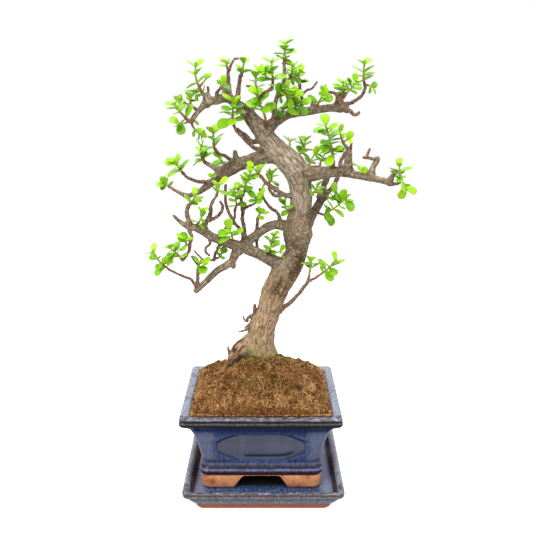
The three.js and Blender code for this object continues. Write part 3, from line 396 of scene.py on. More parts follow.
# broad leaves read one by one: x and z of the middle in the reading plane, and the length
broadLeaves = (
    (-21, 398, 13), (-37, 391, 10), (-25, 395, 9), (-80, 386, 10), (73, 336, 12), (64, 347, 11),
    (75, 348, 11), (62, 368, 10), (74, 365, 10), (5, 406, 12), (18, 401, 11), (38, 404, 11), (7, 437, 10),
    (9, 427, 10), (16, 422, 11), (88, 429, 10), (63, 416, 10), (-102, 331, 9), (134, 319, 11),
    (72, 241, 10), (-64, 243, 10), (68, 295, 9), (87, 310, 10), (81, 320, 10), (-41, 381, 9),
    (-39, 370, 9), (-59, 368, 8), (-50, 378, 8), (-51, 390, 8), (-97, 254, 8), (-108, 247, 8),
)
# Thick limbs: name, then x, z, depth and radius of each point
limbs = [
    ["trunk", -2, 118, 15, 12, -2, 140, 15, 15.5, -3, 152, 15, 15.5, -3.5, 162, 15, 15,
        -2.5, 172, 14.5, 14.5, -0.5, 181, 14, 14, 3, 190, 13, 13.2, 6.8, 200, 12, 12.8, 9.2, 210, 11, 13.2,
        13, 220, 10, 13.6, 18.6, 230, 10, 14.2, 23.5, 240, 10, 14.6, 29, 249, 11, 13.2,
        33.3, 258, 12, 11.6, 34.6, 268, 13, 12.8, 35, 279, 14, 15.2, 36, 290, 15, 13.4,
        36.8, 300, 15, 11.6, 38, 311, 15, 11.2, 37.8, 322, 15, 11.2, 37, 332, 14, 11.8, 34, 342, 13, 13,
        27, 352, 12, 12.6, 17, 361, 11, 11.4, 8, 370, 10, 10.4, 0.5, 380, 8, 9.4, -7, 390, 6, 7.8,
        -15, 399, 4, 6.4, -23, 407, 2, 4.8, -28, 411, 0, 3.6],
    ["root_left", -6, 162, 15, 12, -17, 156, 12, 10.5, -26, 150, 9, 8.5, -32, 143, 7, 6.5, -35, 132, 6, 5],
    ["root_right", 2, 156, 16, 10, 7, 148, 18, 7.5, 11, 141, 20, 5.5, 15, 132, 22, 4],
    ["low_left", 24, 243, 10, 10, 11, 250, 6, 6.8, 0, 256, 2, 6.1, -10, 260.5, -3, 5.8,
        -20, 264.8, -8, 5.8, -30, 268, -12, 5.4, -40, 271, -16, 5, -50, 275, -20, 4.6, -60, 281, -24, 4.4,
        -70, 286, -28, 4.2, -78, 287.5, -31, 3.2, -85, 292, -34, 2.3, -92, 299, -37, 1.6],
    ["arch", 30, 285, 14, 7, 20, 288.5, 12, 5.6, 11, 289, 9, 4.9, 3, 286, 5, 4.7, -5, 280, 0, 4.5,
        -14, 273, -5, 4.8, -21, 266, -8, 4.6],
    ["mid_left", 24, 354, 12, 9.5, 8, 359.5, 14, 8, -4, 357, 18, 7.2, -15, 353.5, 22, 6.6,
        -26, 350, 27, 6.8, -35, 345.5, 31, 6.8, -42, 341, 34, 6.2, -50, 334, 38, 4.2, -58, 328, 42, 3.6,
        -65, 323, 45, 3, -72, 320, 48, 2.5, -78.5, 318.4, 50, 3],
    ["mid_right", 34, 341, 13, 10, 46, 341.5, 8, 8.6, 56, 342, 3, 7, 66, 343, -2, 5.8, 76, 343.3, -7, 5,
        86, 341.7, -11, 4.4, 96, 339.5, -15, 3.9, 106, 337.4, -19, 3.9, 118, 335, -23, 3.3,
        127, 332.4, -26, 3.1],
    ["top_left", -20, 405, 3, 4.4, -30, 412, -2, 4.4, -36, 415, -6, 4.6, -45, 412.5, -10, 4.2,
        -54, 411, -14, 4.4, -60, 405.5, -17, 2.9, -66, 399, -20, 2.6, -71, 391.5, -23, 2.4],
    ["top_right", 2, 381, 8, 6, 9, 390, 12, 5.8, 16, 395, 17, 5, 24, 399, 22, 4.6, 34, 401, 27, 4.3,
        45, 402.5, 32, 4.2, 56, 404, 36, 3.9, 68, 405.5, 40, 4, 76, 405, 43, 4.3, 82, 405, 45, 3],
    ["crown", 0, 372, 4, 4, 4, 380, 2, 3.2, 8, 389, 0, 2.7, 10.5, 398, -1, 2.4, 11.5, 408, -1, 2.3,
        13.5, 416, 1, 2.2, 17, 424, 3, 2.1, 20, 431, 5, 2, 20.5, 438, 6, 1.9, 20, 446, 7, 1.7],
]
# Twigs: name, what each grows from, depth gained, radius at the foot and at the end, x and z of each point
twigs = [
    ["low_hanging", "low_left", -24, 4.4, 3.2, -24, 265, -29, 258.5, -33, 250, -39, 245.5, -47, 241,
        -55, 233.5, -62, 226.5, -68, 221, -72, 217.5],
    ["low_hanging_stub", "low_hanging", -3, 2.4, 2.1, -33, 249, -31, 243.6],
    ["low_hanging_rise", "low_hanging", 4, 2.1, 1.7, -70, 220, -69.3, 230, -68.6, 240],
    ["low_hanging_reach", "low_hanging", -8, 1.7, 1.1, -70, 220, -73, 226.5, -77, 231, -84, 234, -91, 237,
        -98, 240.5],
    ["low_loop", "low_left", 9, 1.8, 1.4, -44, 270, -47.5, 264, -50, 258, -51, 252],
    ["low_loop_foot", "low_loop", 6, 1.2, 0.9, -51, 252, -57, 251.2, -62, 252, -67, 256, -72, 261.5],
    ["low_curl", "low_left", -7, 1.6, 1.2, -55, 275, -55.5, 269, -59.5, 265, -60, 260, -56, 256.5],
    ["far_rise", "low_left", 9, 2.8, 1.9, -77, 287, -76.4, 292, -77.5, 298, -78, 304, -76.5, 309],
    ["near_rise", "low_left", -10, 3, 1.3, -62, 283, -60, 290, -56.5, 296, -53.5, 302, -53.5, 308,
        -51, 314, -47.5, 319],
    ["near_rise_arm", "near_rise", -12, 2.1, 1.4, -57, 295, -51, 295, -46, 298.5, -42.5, 303, -41.5, 308,
        -43.5, 313],
    ["climber", "low_left", -22, 1.9, 1.4, -20, 268, -21.5, 280, -27, 288, -31, 293, -34, 299, -37, 306,
        -38.2, 313, -38.4, 322, -37.8, 330],
    ["riser", "arch", 14, 2.3, 1.5, -19, 270, -19.8, 279, -20.3, 287, -21.2, 296, -21.2, 304, -21.6, 311,
        -23, 319, -26, 328],
    ["riser_arm", "riser", -10, 1.5, 1, -21, 305, -15, 308, -10, 310.5, -7, 312.5],
    ["creeper", "low_left", 12, 1.6, 1.2, -42, 274, -41.5, 281, -37, 286.8, -31.5, 290.5, -29.5, 297,
        -29, 304],
    ["arch_stub", "arch", -5, 1.7, 1.5, -6, 281, -6.2, 288, -6, 295],
    ["arch_drop", "arch", 1, 1.6, 1.6, -6.5, 278, -6.8, 271, -6.5, 262],
    ["inner_rise", "arch", -18, 1.9, 1.2, 17, 290, 15.5, 299.5, 10, 305, 5, 309, 1.5, 314, -1, 319.5,
        -4, 326],
    ["inner_arm", "trunk", -16, 3, 2.2, 30, 319, 21, 320, 13, 325],
    ["inner_fork", "inner_arm", -8, 1.9, 1.4, 18, 320.5, 12, 319, 8, 322, 5.5, 327],
    ["right_hanging", "trunk", 14, 5, 4.2, 40, 286, 47, 295, 52, 303, 56, 310, 59, 316],
    ["right_hanging_rise", "right_hanging", 8, 3.2, 2.3, 58.5, 315, 60, 322, 61.5, 330, 64.5, 338, 67, 346,
        68, 353],
    ["right_hanging_far", "right_hanging", 12, 2.5, 1.7, 58, 313.5, 66, 323, 71, 330, 75, 338, 76.2, 347,
        78, 355, 81, 362],
    ["right_low", "trunk", -14, 2.5, 1.7, 16, 196, 24, 201, 30, 206, 36, 213, 41, 220, 46, 226],
    ["right_rise", "mid_right", -4, 4.8, 3, 84, 343, 84.5, 350, 85, 357, 85.3, 363],
    ["right_rise_left", "right_rise", 3, 2, 1.3, 85, 362, 82.5, 367, 79.5, 371],
    ["right_rise_right", "right_rise", -2, 1.8, 0.9, 85.5, 362, 86.6, 368, 88.2, 372.5],
    ["far_stub", "mid_right", 6, 3.2, 2.7, 108, 338, 108.8, 344, 110.5, 349.5, 113, 353.5, 113.6, 357],
    ["far_stub_arm", "far_stub", -8, 1.6, 1.3, 112, 355.5, 106, 356.6, 99.5, 357.7],
    ["far_stub_bud", "far_stub_arm", 2, 1.3, 1.3, 102.5, 357.5, 104, 361.5, 105.6, 365.5],
    ["end_rise", "mid_right", 5, 2.5, 2, 127, 333, 129, 338, 131.8, 342, 133.6, 344.4],
    ["end_reach", "mid_right", -3, 1.9, 1.3, 126, 332, 131, 330.8, 136.4, 331.8],
    ["knob_far", "top_left", -2, 3.9, 3.4, -54, 410, -54.8, 417.5],
    ["knob_near", "top_left", 2, 4.6, 4.2, -35, 414, -35.2, 424.5],
    ["knob_stub", "top_left", -4, 1.3, 1.1, -52, 412, -53, 419, -53.5, 425],
    ["knob_branch", "knob_near", -3, 2.3, 1.5, -35, 423, -34, 432, -33, 440],
    ["knob_dead", "knob_branch", 4, 1.2, 0.9, -33, 440, -30, 446.5, -27, 450.5, -23.5, 451],
    ["near_branch", "top_left", 9, 2.5, 1.7, -27, 410, -24.3, 418, -23.5, 427, -21.5, 435],
    ["side_branch", "top_left", -8, 1.8, 1.3, -43, 413, -44.5, 418.5, -41, 424],
    ["middle_dead", "trunk", 14, 2, 1.3, -14, 399, -8, 407, -1, 413],
    ["left_thin", "trunk", -16, 2.2, 1.3, -1, 366, -9, 367, -14, 371, -20, 377, -26, 383, -29, 389],
    ["left_thin_mate", "trunk", -7, 2.4, 1.8, -3, 374, -12, 373.5, -17, 378, -22, 382, -26, 385],
    ["left_stub", "mid_left", -3, 2.5, 2.3, -27, 351, -27.5, 357, -28, 363.4],
    ["left_lift", "mid_left", -12, 2, 1.4, -29, 352, -34, 356.2, -40, 359.5, -46, 362.5],
    ["left_outer", "mid_left", 8, 3.6, 1.8, -41, 342.5, -47, 346.5, -53, 349.7, -58, 352.3],
    ["left_far", "mid_left", -12, 1.9, 1.3, -52, 332, -60, 332.8, -68, 334, -75, 337, -80.5, 341.5],
    ["left_tip", "mid_left", 12, 1.8, 1.3, -78, 319, -85, 322, -90, 325, -94.5, 328],
    ["top_low_stub", "top_right", 3, 1.9, 1.5, 80, 404, 85, 402, 90, 398.8, 93.5, 400.6],
    ["top_stub", "top_right", 4, 2.6, 2.4, 49, 403, 49, 411],
    ["top_right_reach", "top_right", 8, 2, 1.3, 79, 406, 86, 410.5, 91, 413, 95, 416, 97.5, 420.5,
        98.6, 425],
    ["top_right_arch", "top_right", -9, 1.7, 1.3, 70.5, 406, 71.5, 415.5, 69, 419, 63, 420.3],
    ["top_middle", "top_right", -10, 2, 1.4, 36, 402, 38, 411, 36, 418.5, 35.3, 426],
    ["top_middle_arm", "top_middle", 6, 1.3, 0.9, 37, 417, 42, 421.5, 46, 423, 52, 429.5],
    ["base_stub", "trunk", -5, 2.2, 1.7, -5, 186, -12, 187.5, -10, 192, -9, 202],
    ["base_hook", "trunk", -4, 1.9, 1.5, -4, 183, -13, 190, -16.5, 187.5, -17.5, 183],
    ["base_twig", "base_hook", 1, 1.1, 0.9, -17.5, 184, -20, 184.5, -22, 189],
    ["base_knot", "trunk", -6, 2.6, 1.9, -6, 178, -16, 177.5, -18.8, 174.5],
    ["base_thorn", "base_knot", -1, 1, 0.8, -18, 174, -22, 172.5, -26.5, 171.4],
    ["root_spike", "root_left", -2, 2, 0.9, -33, 143, -37, 147, -38.6, 154],
]
# Leafy shoots: name, what each grows from, depth gained, radius at the foot, pairs of leaves, leaf length,
# x and z of each point. A shoot on another shoot is part of its spray, and one with no leaves is its twig.
shoots = [
    ["corner_top", "knob_far", -4, 1.6, 3, 10, -57, 417, -61, 423, -64, 430, -65, 437, -64.6, 444],
    ["corner_top_side", "corner_top", -5, 0.9, 1, 7, -61.5, 425, -57, 430, -54.5, 433],
    ["corner_arm", "top_left", 10, 1.4, 0, 0, -64, 402, -69, 406.5, -76, 410],
    ["corner_arm_end", "corner_arm", 3, 1, 1, 8, -76, 410, -80, 411.5],
    ["corner_arm_rise", "corner_arm", -4, 1.1, 2, 8, -71, 408, -70.5, 413, -67, 420],
    ["corner_left", "top_left", -4, 1.5, 3, 11, -71, 392, -76, 395.5, -80, 400, -83, 404, -86, 408.5],
    ["corner_left_low", "corner_left", -6, 1, 1, 11, -73.5, 392.5, -79, 390.5, -82.5, 391],
    ["corner_down", "top_left", 8, 1.3, 2, 8, -68.4, 395.6, -69.6, 388, -66, 383.5, -61, 379],
    ["knob_tip", "knob_branch", -2, 1.3, 2, 7, -33.4, 440, -35.2, 444.5, -35.4, 448],
    ["near_tip", "near_branch", -2, 1.4, 2, 9, -21.4, 435, -19.6, 441, -18.6, 447],
    ["side_tip", "side_branch", -3, 1.2, 1, 8, -41, 424, -38.5, 428],
    ["front_shoot", "left_thin", -8, 1.3, 4, 11, -29, 389, -30, 396, -29.6, 404, -30.4, 412],
    ["middle_shoot", "trunk", -23, 1.5, 3, 11, 2, 384, 2.5, 394, 0, 401, -3.5, 410, -7, 418],
    ["middle_arm", "trunk", -15, 2.5, 0, 0, -19, 404, -12, 411, -5, 414, 2, 419.5, 8, 422.5],
    ["middle_high", "middle_arm", -3, 1.4, 3, 10, 8, 422.5, 9.5, 430, 8.5, 438, 8.3, 447.5],
    ["middle_fan", "middle_high", -8, 0.9, 2, 9, 9.2, 431, 4, 433.6, 0.5, 438],
    ["middle_side", "middle_arm", 6, 1.2, 3, 8, -5, 414, -6.5, 424, -7.5, 432, -4.5, 440],
    ["crown_tip", "crown", 2, 1.4, 4, 9, 20, 446, 20.4, 453, 21, 464],
    ["crown_side", "crown", -6, 1.1, 2, 8, 19.5, 430, 26, 433, 32, 436, 35, 438.5],
    ["crown_side_up", "crown_side", -4, 0.9, 2, 8, 26, 433, 27.6, 439, 28, 444],
    ["crown_low", "crown", -9, 1.1, 2, 9, 13, 415, 20, 418, 24, 423],
    ["crown_low_far", "crown_low", -5, 0.9, 2, 9, 20, 418, 26, 415.6, 30.4, 416.6],
    ["top_middle_tip", "top_middle", -3, 1.2, 3, 9, 35.3, 426, 34.4, 433, 31.6, 440],
    ["leaf_fan", "top_right", -12, 1.2, 2, 13, 30, 400, 31.5, 405, 35, 410.5],
    ["hanging_fan", "top_right", -14, 1.1, 1, 11, 22, 398, 20, 402, 18, 405],
    ["top_near", "top_right", -8, 1.3, 2, 11, 52, 404, 54, 410.5, 57, 415.5],
    ["arch_tip", "top_right_arch", -3, 1.1, 1, 7, 63, 420.3, 59, 421],
    ["top_knob", "top_right", -6, 4.2, 0, 0, 75, 406, 74.6, 417],
    ["knob_shoot", "top_knob", -2, 1.5, 2, 10, 76, 416, 77, 421, 77, 428],
    ["red_shoot", "top_knob", -12, 1.2, 2, 9, 77, 414, 81, 419.5, 86, 424.5, 88.6, 430],
    ["reach_tip", "top_right_reach", -4, 1.3, 3, 12, 98.6, 425, 97, 431, 96.4, 438, 96.8, 446],
    ["reach_side", "reach_tip", -5, 0.9, 1, 8, 98.2, 427, 102.5, 426, 106, 424.6],
    ["lift_tip", "left_lift", -3, 1.4, 3, 12, -46, 362.5, -48.6, 368, -49.2, 374, -49.2, 381],
    ["outer_tip", "left_outer", -5, 1.5, 3, 10, -58, 352.3, -61, 357, -62.2, 363, -61.4, 368],
    ["mid_leaves", "mid_left", -12, 1.3, 2, 9, -36, 346.5, -40.5, 353, -43.5, 357],
    ["low_leaf", "mid_left", -8, 1.1, 1, 8, -45, 338, -49.5, 339],
    ["far_tip", "left_far", -5, 1.2, 3, 11, -80.5, 341.5, -84.4, 346.8, -87.5, 352.6],
    ["left_end", "left_tip", 5, 1.2, 2, 10, -94.5, 328, -98.5, 331],
    ["far_crown", "far_rise", -4, 1.7, 2, 10, -76.5, 309, -73, 312, -71, 315.4, -69.6, 318.2],
    ["elbow", "low_left", -10, 1.1, 3, 8, -69, 288, -66, 292, -63.6, 296.5, -62.2, 303],
    ["near_rise_tip", "near_rise", -4, 1.2, 2, 10, -47.5, 319, -45.5, 325, -44, 330],
    ["creeper_tip", "creeper", -4, 1.1, 3, 9, -29, 304, -27.6, 310, -28.3, 318, -29.2, 325],
    ["riser_fork", "riser", -14, 1.5, 4, 8, -22.5, 317, -19.4, 323, -18, 329, -16, 336, -13.5, 342],
    ["inner_arm_tip", "inner_arm", -10, 2.2, 0, 0, 13, 325, 7, 329, 2, 333.2, -2, 338],
    ["inner_tip", "inner_arm_tip", -6, 1.3, 2, 10, -2, 338, -6, 342.5, -9.5, 347],
    ["inner_side", "inner_arm_tip", -8, 1, 1, 9, 3, 332.5, 0, 329, -2, 324.5],
    ["inner_rise_leaf", "inner_arm_tip", 6, 1.1, 2, 10, 4, 331.5, 8, 335, 9, 341],
    ["arm_tip", "riser_arm", -3, 1, 2, 8, -7, 312.5, -7.6, 317],
    ["stub_shoot", "arch_stub", -3, 1.2, 2, 8, -6, 295, -4.8, 298.6, -2.4, 302],
    ["limb_leaf", "low_left", -12, 1.3, 2, 12, -32, 269, -32.2, 277, -34.4, 283],
    ["under_leaf", "low_loop", -8, 1.2, 2, 7, -50.5, 253, -46, 254.5, -43.6, 259, -44.8, 264.5],
    ["rise_crown", "low_hanging_rise", -4, 1.6, 2, 11, -68.6, 240, -68.2, 243.5, -66.4, 248],
    ["reach_end", "low_hanging_reach", -5, 1.1, 3, 10, -98, 240.5, -105, 246.6, -111, 253.4, -114, 259.5],
    ["far_hanging", "low_left", -10, 2.1, 0, 0, -76, 286, -74.8, 279, -73.6, 275.5, -75.5, 271.5,
        -76.5, 266, -77.5, 261, -80.5, 255.5, -84, 251],
    ["far_hanging_tip", "far_hanging", -5, 1.4, 3, 9, -84, 251, -88, 255.8, -92, 260, -96, 264],
    ["far_hanging_leaf", "far_hanging", -7, 1.2, 2, 10, -76.5, 266.5, -80, 269.4, -80.6, 273],
    ["mossy_shoot", "low_left", -9, 1.4, 3, 9, 5, 255, 7, 263.5, 8.4, 270.5, 10.4, 277.5],
    ["mossy_side", "mossy_shoot", -3, 1, 1, 10, 6.8, 262, 11.5, 259.4, 17, 260.4],
    ["trunk_shoot", "trunk", -11, 1.6, 2, 9, 46, 318, 51.5, 323, 54, 328],
    ["red_green", "right_hanging_far", -10, 1.2, 2, 11, 61, 316, 66, 316.4, 70, 317.5, 73, 321],
    ["low_right", "right_hanging", -10, 1.3, 4, 11, 53, 304, 58, 300.4, 63, 300, 69, 304, 75.5, 308.8,
        82, 315],
    ["big_leaf_shoot", "mid_right", -13, 1.6, 5, 12, 70, 344, 70, 352, 69, 360, 67.2, 369, 64.6, 379,
        61.4, 388.4],
    ["notch_shoot", "mid_right", 9, 1.5, 3, 10, 45, 345, 47, 354, 50.5, 360],
    ["notch_far", "mid_right", 4, 1.4, 2, 9, 56, 345, 57.5, 354, 61, 361],
    ["shoulder", "trunk", 6, 1.6, 3, 10, 30, 352, 36.4, 360.4, 40.5, 367, 41.4, 373.6],
    ["shoulder_small", "trunk", -4, 1.4, 2, 9, 20, 358, 25.8, 368, 26.2, 373.4],
    ["right_crown", "right_rise_left", 4, 1.3, 2, 10, 79.5, 371, 77.8, 375.5, 76, 380.6],
    ["right_crown_side", "right_crown", -4, 0.9, 1, 10, 79, 372.6, 83, 375],
    ["right_blade", "right_rise", -10, 1.2, 1, 11, 86.5, 350, 91, 350.5, 96, 348],
    ["end_crown", "end_reach", -2, 1.3, 3, 9, 136.4, 331.8, 137.2, 338, 136, 348.5],
    ["end_drop", "end_crown", -4, 1.1, 2, 12, 136.6, 333, 141, 331.4, 143.4, 327.4],
    ["low_fork", "right_low", 5, 1.6, 2, 11, 46, 226, 47.5, 232, 48.6, 241, 48.8, 250],
    ["low_fork_far", "low_fork", -12, 1.4, 3, 11, 47.4, 229, 53, 231, 58, 234.5, 64, 239, 69, 243.4,
        74.6, 251],
    ["trunk_left_shoot", "trunk", -9, 1.4, 3, 8, 27, 302, 22.4, 308, 22.6, 315.4],
]
limbRows = {name: np.reshape(numbers, (-1, 4)).astype(float) for name, *numbers in limbs}
sprayOf = {}


def gapsTo(name, x, z):
    # the nearest place to x and z on each stretch of an axis, its share of the stretch, and the gap
    rows = limbRows[name]
    start, step = rows[:-1], rows[1:] - rows[:-1]
    along = (x - start[:, 0]) * step[:, 0] + (z - start[:, 1]) * step[:, 1]
    t = np.clip(along / (step[:, 0] ** 2 + step[:, 1] ** 2), 0, 1)
    places = start + t[:, None] * step
    return places, t, np.hypot(x - places[:, 0], z - places[:, 1])


def growTwig(name, parent, gain, startRadius, endRadius, numbers):
    # depth and radius change evenly along the way from the parent's axis
    path = np.reshape(numbers, (-1, 2)).astype(float)
    places, unused, gaps = gapsTo(parent, *path[0])
    rootX, rootZ, rootDepth, unused = places[gaps.argmin()]
    further = [(x, z) for x, z in path if math.hypot(x - rootX, z - rootZ) > treeSettings["leastStep"]]
    way = np.array([(rootX, rootZ)] + further)
    lengths = np.concatenate([[0], np.cumsum(np.hypot(*np.diff(way, axis=0).T))])
    t = lengths / lengths[-1]
    limbRows[name] = np.stack([way[:, 0], way[:, 1], rootDepth + gain * t,
                               startRadius + (endRadius - startRadius) * t], 1)


for name, parent, gain, startRadius, endRadius, *numbers in twigs:
    growTwig(name, parent, gain, startRadius, endRadius, numbers)
for name, parent, gain, footRadius, pairs, leafLength, *numbers in shoots:
    endRadius = treeSettings["stemEnd"] if pairs else treeSettings["bareShare"] * footRadius
    growTwig(name, parent, gain, footRadius, endRadius, numbers)
    sprayOf[name] = sprayOf.get(parent, name)
shootLeaves = {name: (pairs, leafLength) for name, parent, gain, foot, pairs, leafLength, *numbers in shoots}


def seenAt(x, z, depth):
    # moves a read place along its line of sight to a depth, with the change of scale
    eyeX, eyeY, eyeZ = cameraSettings["eye"]
    share = (depth - eyeY) / (treeSettings["readingDepth"] - eyeY)
    return np.stack([eyeX + share * (x - eyeX), depth, eyeZ + share * (z - eyeZ)], -1), share


def seatedWay(name):
    x, z, depth, radius = limbRows[name].T
    points, share = seenAt(x, z, depth)
    return points, radius * share


seatedWays = {name: seatedWay(name) for name in limbRows}
print("tree axes seated:", len(seatedWays))


# Leaves: opposite pairs, each pair turned a quarter from the last, at the CAD leaves' seats

def randomFrom(seed):
    # the small counter-based generator that the CAD leaves use
    state = [seed]

    def multiply(a, b):
        return (a * b) & 0xFFFFFFFF

    def draw():
        state[0] = (state[0] + 0x6D2B79F5) & 0xFFFFFFFF
        t = state[0]
        t = multiply(t ^ (t >> 15), t | 1)
        t ^= (t + multiply(t ^ (t >> 7), t | 61)) & 0xFFFFFFFF
        return (t ^ (t >> 14)) / 4294967296

    return draw


def stemPlace(name, fromTip):
    # the place at a distance from the stem's tip, with the directions along and across the stem there
    points, unused = seatedWays[name]
    lengths = lengthsAlong(points)
    distance = lengths[-1] - fromTip
    i = 1
    while i < len(points) - 1 and lengths[i] < distance:
        i += 1
    t = (distance - lengths[i - 1]) / (lengths[i] - lengths[i - 1])
    along = unit(points[i] - points[i - 1])
    across = unit(levelAcross(along))
    return {"base": points[i - 1] + t * (points[i] - points[i - 1]), "along": along, "across": across,
            "other": np.cross(along, across)}


def pairPitch(name, pairs):
    leafy = lengthsAlong(seatedWays[name][0])[-1] - treeSettings["bareFoot"]
    return min(treeSettings["largestPitch"], leafy / max(1, pairs - 1 + 0.4))


def leafSeats(name, pairs, leafLength, seed):
    # two leaves to each pair, half a turn apart, and each pair below the tip lies lower
    draw = randomFrom(seed)

    def drawn(key):
        least, more = treeSettings[key]
        return least + more * draw()

    def eitherSide(key):
        return (draw() - 0.5) * treeSettings[key]

    firstTurn = draw() * math.pi
    pitch = pairPitch(name, pairs)
    seats = []
    for pair in range(pairs):
        place = stemPlace(name, treeSettings["tipPair"] + pair * pitch * drawn("pitchShare"))
        lift = treeSettings["lift"] - treeSettings["liftLess"] * pair
        for half in (0, 1):
            turn = firstTurn + pair * (math.pi / 2) + half * math.pi
            seats.append({**place, "turn": turn + eitherSide("turnSpread"),
                          "lift": math.radians(lift + eitherSide("liftSpread")),
                          "size": leafLength * treeSettings["leafSizes"][pair] * drawn("sizeShare"),
                          "bend": drawn("bend"), "tilt": eitherSide("tiltSpread"), "pair": pair})
    return seats


def fillingSeats(name, pairs, leafLength, draws):
    # smaller leaves halfway between the pairs and below the last
    pitch = pairPitch(name, pairs)
    fromTip = np.arange(pairs + 1) * pitch + 0.5 * pitch
    seats = []
    for distance in fromTip[fromTip < lengthsAlong(seatedWays[name][0])[-1] - 1.5] if pairs else ():
        place = stemPlace(name, distance + draws.uniform(-0.6, 0.6))
        firstTurn = draws.normal(0, treeSettings["fillingTurn"])
        if draws.uniform() > treeSettings["fillingShare"]:
            continue
        for half in (0, 1):
            seats.append({**place, "turn": firstTurn + half * math.pi + draws.uniform(-0.5, 0.5),
                          "lift": math.radians(draws.uniform(*treeSettings["fillingLifts"])),
                          "size": leafLength * draws.uniform(*treeSettings["fillingSizes"]),
                          "bend": draws.uniform(*treeSettings["fillingBends"]),
                          "tilt": draws.uniform(*treeSettings["fillingTilts"]), "pair": 1})
    return seats


def turnAbout(vector, axis, angle):
    # the vector turned about a unit axis
    return (vector * math.cos(angle) + np.cross(axis, vector) * math.sin(angle)
            + axis * np.dot(axis, vector) * (1 - math.cos(angle)))


def facedLeaf(leaf, ahead, face, tilt=0):
    # the leaf with its face square to the way it grows, tilted about it
    face = turnAbout(unit(face - ahead * np.dot(face, ahead)), ahead, tilt)
    return {**leaf, "ahead": ahead, "face": face, "side": np.cross(ahead, face)}


def leafFrame(seat, turnBy=0, liftBy=0):
    # the leaf grows outwards and up the stem, and its face looks along the stem and to the light
    turn, lift = seat["turn"] + turnBy, seat["lift"] + liftBy
    outward = seat["across"] * math.cos(turn) + seat["other"] * math.sin(turn)
    ahead = unit(outward * math.cos(lift) + seat["along"] * math.sin(lift))
    return facedLeaf(seat, ahead, seat["along"] + np.array(treeSettings["towardsLight"]), seat["tilt"])


def broadLeaf(x, z, size):
    # a leaf from the nearest shoot to its read middle, leaning to the front as far as its length asks
    found = []
    for name in sprayOf:
        unused, t, gaps = gapsTo(name, x, z)
        found.append((gaps.min(), name, gaps.argmin(), t[gaps.argmin()]))
    unused, name, i, t = min(found, key=lambda row: row[0])
    points = seatedWays[name][0]
    base = points[i] + t * (points[i + 1] - points[i])
    away = seenAt(x, z, base[1])[0] - base + (0, 0, 0.01)
    reach = np.linalg.norm(away)
    size = max(size, reach / treeSettings["broadMiddle"])
    lean = math.acos(min(1, reach / (treeSettings["broadMiddle"] * size)))
    ahead = away / reach * math.cos(lean) + np.array([0, -math.sin(lean), 0])
    leaf = {"base": base, "size": size, "bend": 0.1, "pair": 1}
    return facedLeaf(leaf, ahead, np.array(treeSettings["broadFace"])), sprayOf[name]


def leafPoints(leaf, t, s, h):
    # t runs from base to tip, s from side to side, h is the height over the middle
    t, s, h = (np.asarray(value, float)[..., None] for value in (t, s, h))
    return (leaf["base"] + leaf["ahead"] * leaf["size"] * t + leaf["side"] * s
            + leaf["face"] * (h - leaf["bend"] * leaf["size"] * t * t))


def leafHalfWidth(size, t):
    # the square root of what is left to the tip, times a power of what is behind
    return size * treeSettings["halfWidth"] * np.sqrt(np.maximum(0, 1 - t)) * t ** treeSettings["widthPower"]


def leafSamples(leaf):
    # the middle and both sides of the leaf at five places along it
    t = np.repeat([0.3, 0.48, 0.66, 0.84, 0.98], 3)
    s = leafHalfWidth(leaf["size"], t) * np.tile([-0.85, 0, 0.85], 5)
    return leafPoints(leaf, t, s, 0 * t)


def placeLeaves():
    # keeps each leaf that is clear of the straight stretches of other wood and of the leaves kept so far
    ways = seatedWays.values()
    starts, fromRadii, ends, toRadii = (np.concatenate([way[kind][part] for way in ways])
                                        for part in (slice(-1), slice(1, None)) for kind in (0, 1))
    owners = np.repeat([sprayOf.get(name, "trunk") for name in seatedWays],
                       [len(points) - 1 for points, radii in ways])
    spans = ends - starts
    spanLengths = np.linalg.norm(spans, axis=1)
    placed = []

    def keepClear(leaf, node, woodGap, ownGap, otherGap):
        samples = leafSamples(leaf)
        reach = np.linalg.norm(starts - samples[6], axis=1) - spanLengths
        near = (owners != node) & (reach <= treeSettings["woodReach"])
        away = samples[:, None, :] - starts[near][None]
        t = np.clip((away * spans[near]).sum(-1) / (spanLengths[near] ** 2), 0, 1)
        radii = fromRadii[near] + t * (toRadii[near] - fromRadii[near])
        gaps = np.linalg.norm(away - spans[near] * t[..., None], axis=-1) - radii
        if gaps.size and gaps.min() < woodGap:
            return False
        for unused, otherNode, other in placed:
            if np.linalg.norm(other[6] - samples[6]) > treeSettings["leafReach"]:
                continue
            least = np.linalg.norm(samples[:, None] - other[None], axis=-1).min()
            if least < (ownGap if otherNode == node else otherGap):
                return False
        placed.append((leaf, node, samples))
        return True

    def placeSeats(seats, node, gaps):
        for seat in seats:
            any(keepClear(leafFrame(seat, *change), node, *gaps) for change in treeSettings["tries"])

    for leaf, node in (broadLeaf(*row) for row in broadLeaves):
        if leaf["size"] < treeSettings["broadLongest"]:
            keepClear(leaf, node, *treeSettings["fillingGaps"])
    print("broad leaves:", len(placed))
    for number, (name, leaves) in enumerate(shootLeaves.items()):
        placeSeats(leafSeats(name, *leaves, treeSettings["firstSeed"] + number), sprayOf[name],
                   treeSettings["pairGaps"])
    draws = np.random.default_rng(treeSettings["firstSeed"])
    for name, leaves in shootLeaves.items():
        placeSeats(fillingSeats(name, *leaves, draws), sprayOf[name], treeSettings["fillingGaps"])
    return [(leaf, node) for leaf, node, samples in placed]


leaves = placeLeaves()
print("leaves placed:", len(leaves))


# Ways and tubes

tubeSettings = {
    "leastRadius": 0.3,
    "domeHeight": 0.7,                          # of the end's radius
    "domeRings": ((0.45, 0.86), (0.8, 0.52)),   # shares of the dome's height and of the end's width
    "unevenLength": 0.7,                        # of the noise, in radii
}


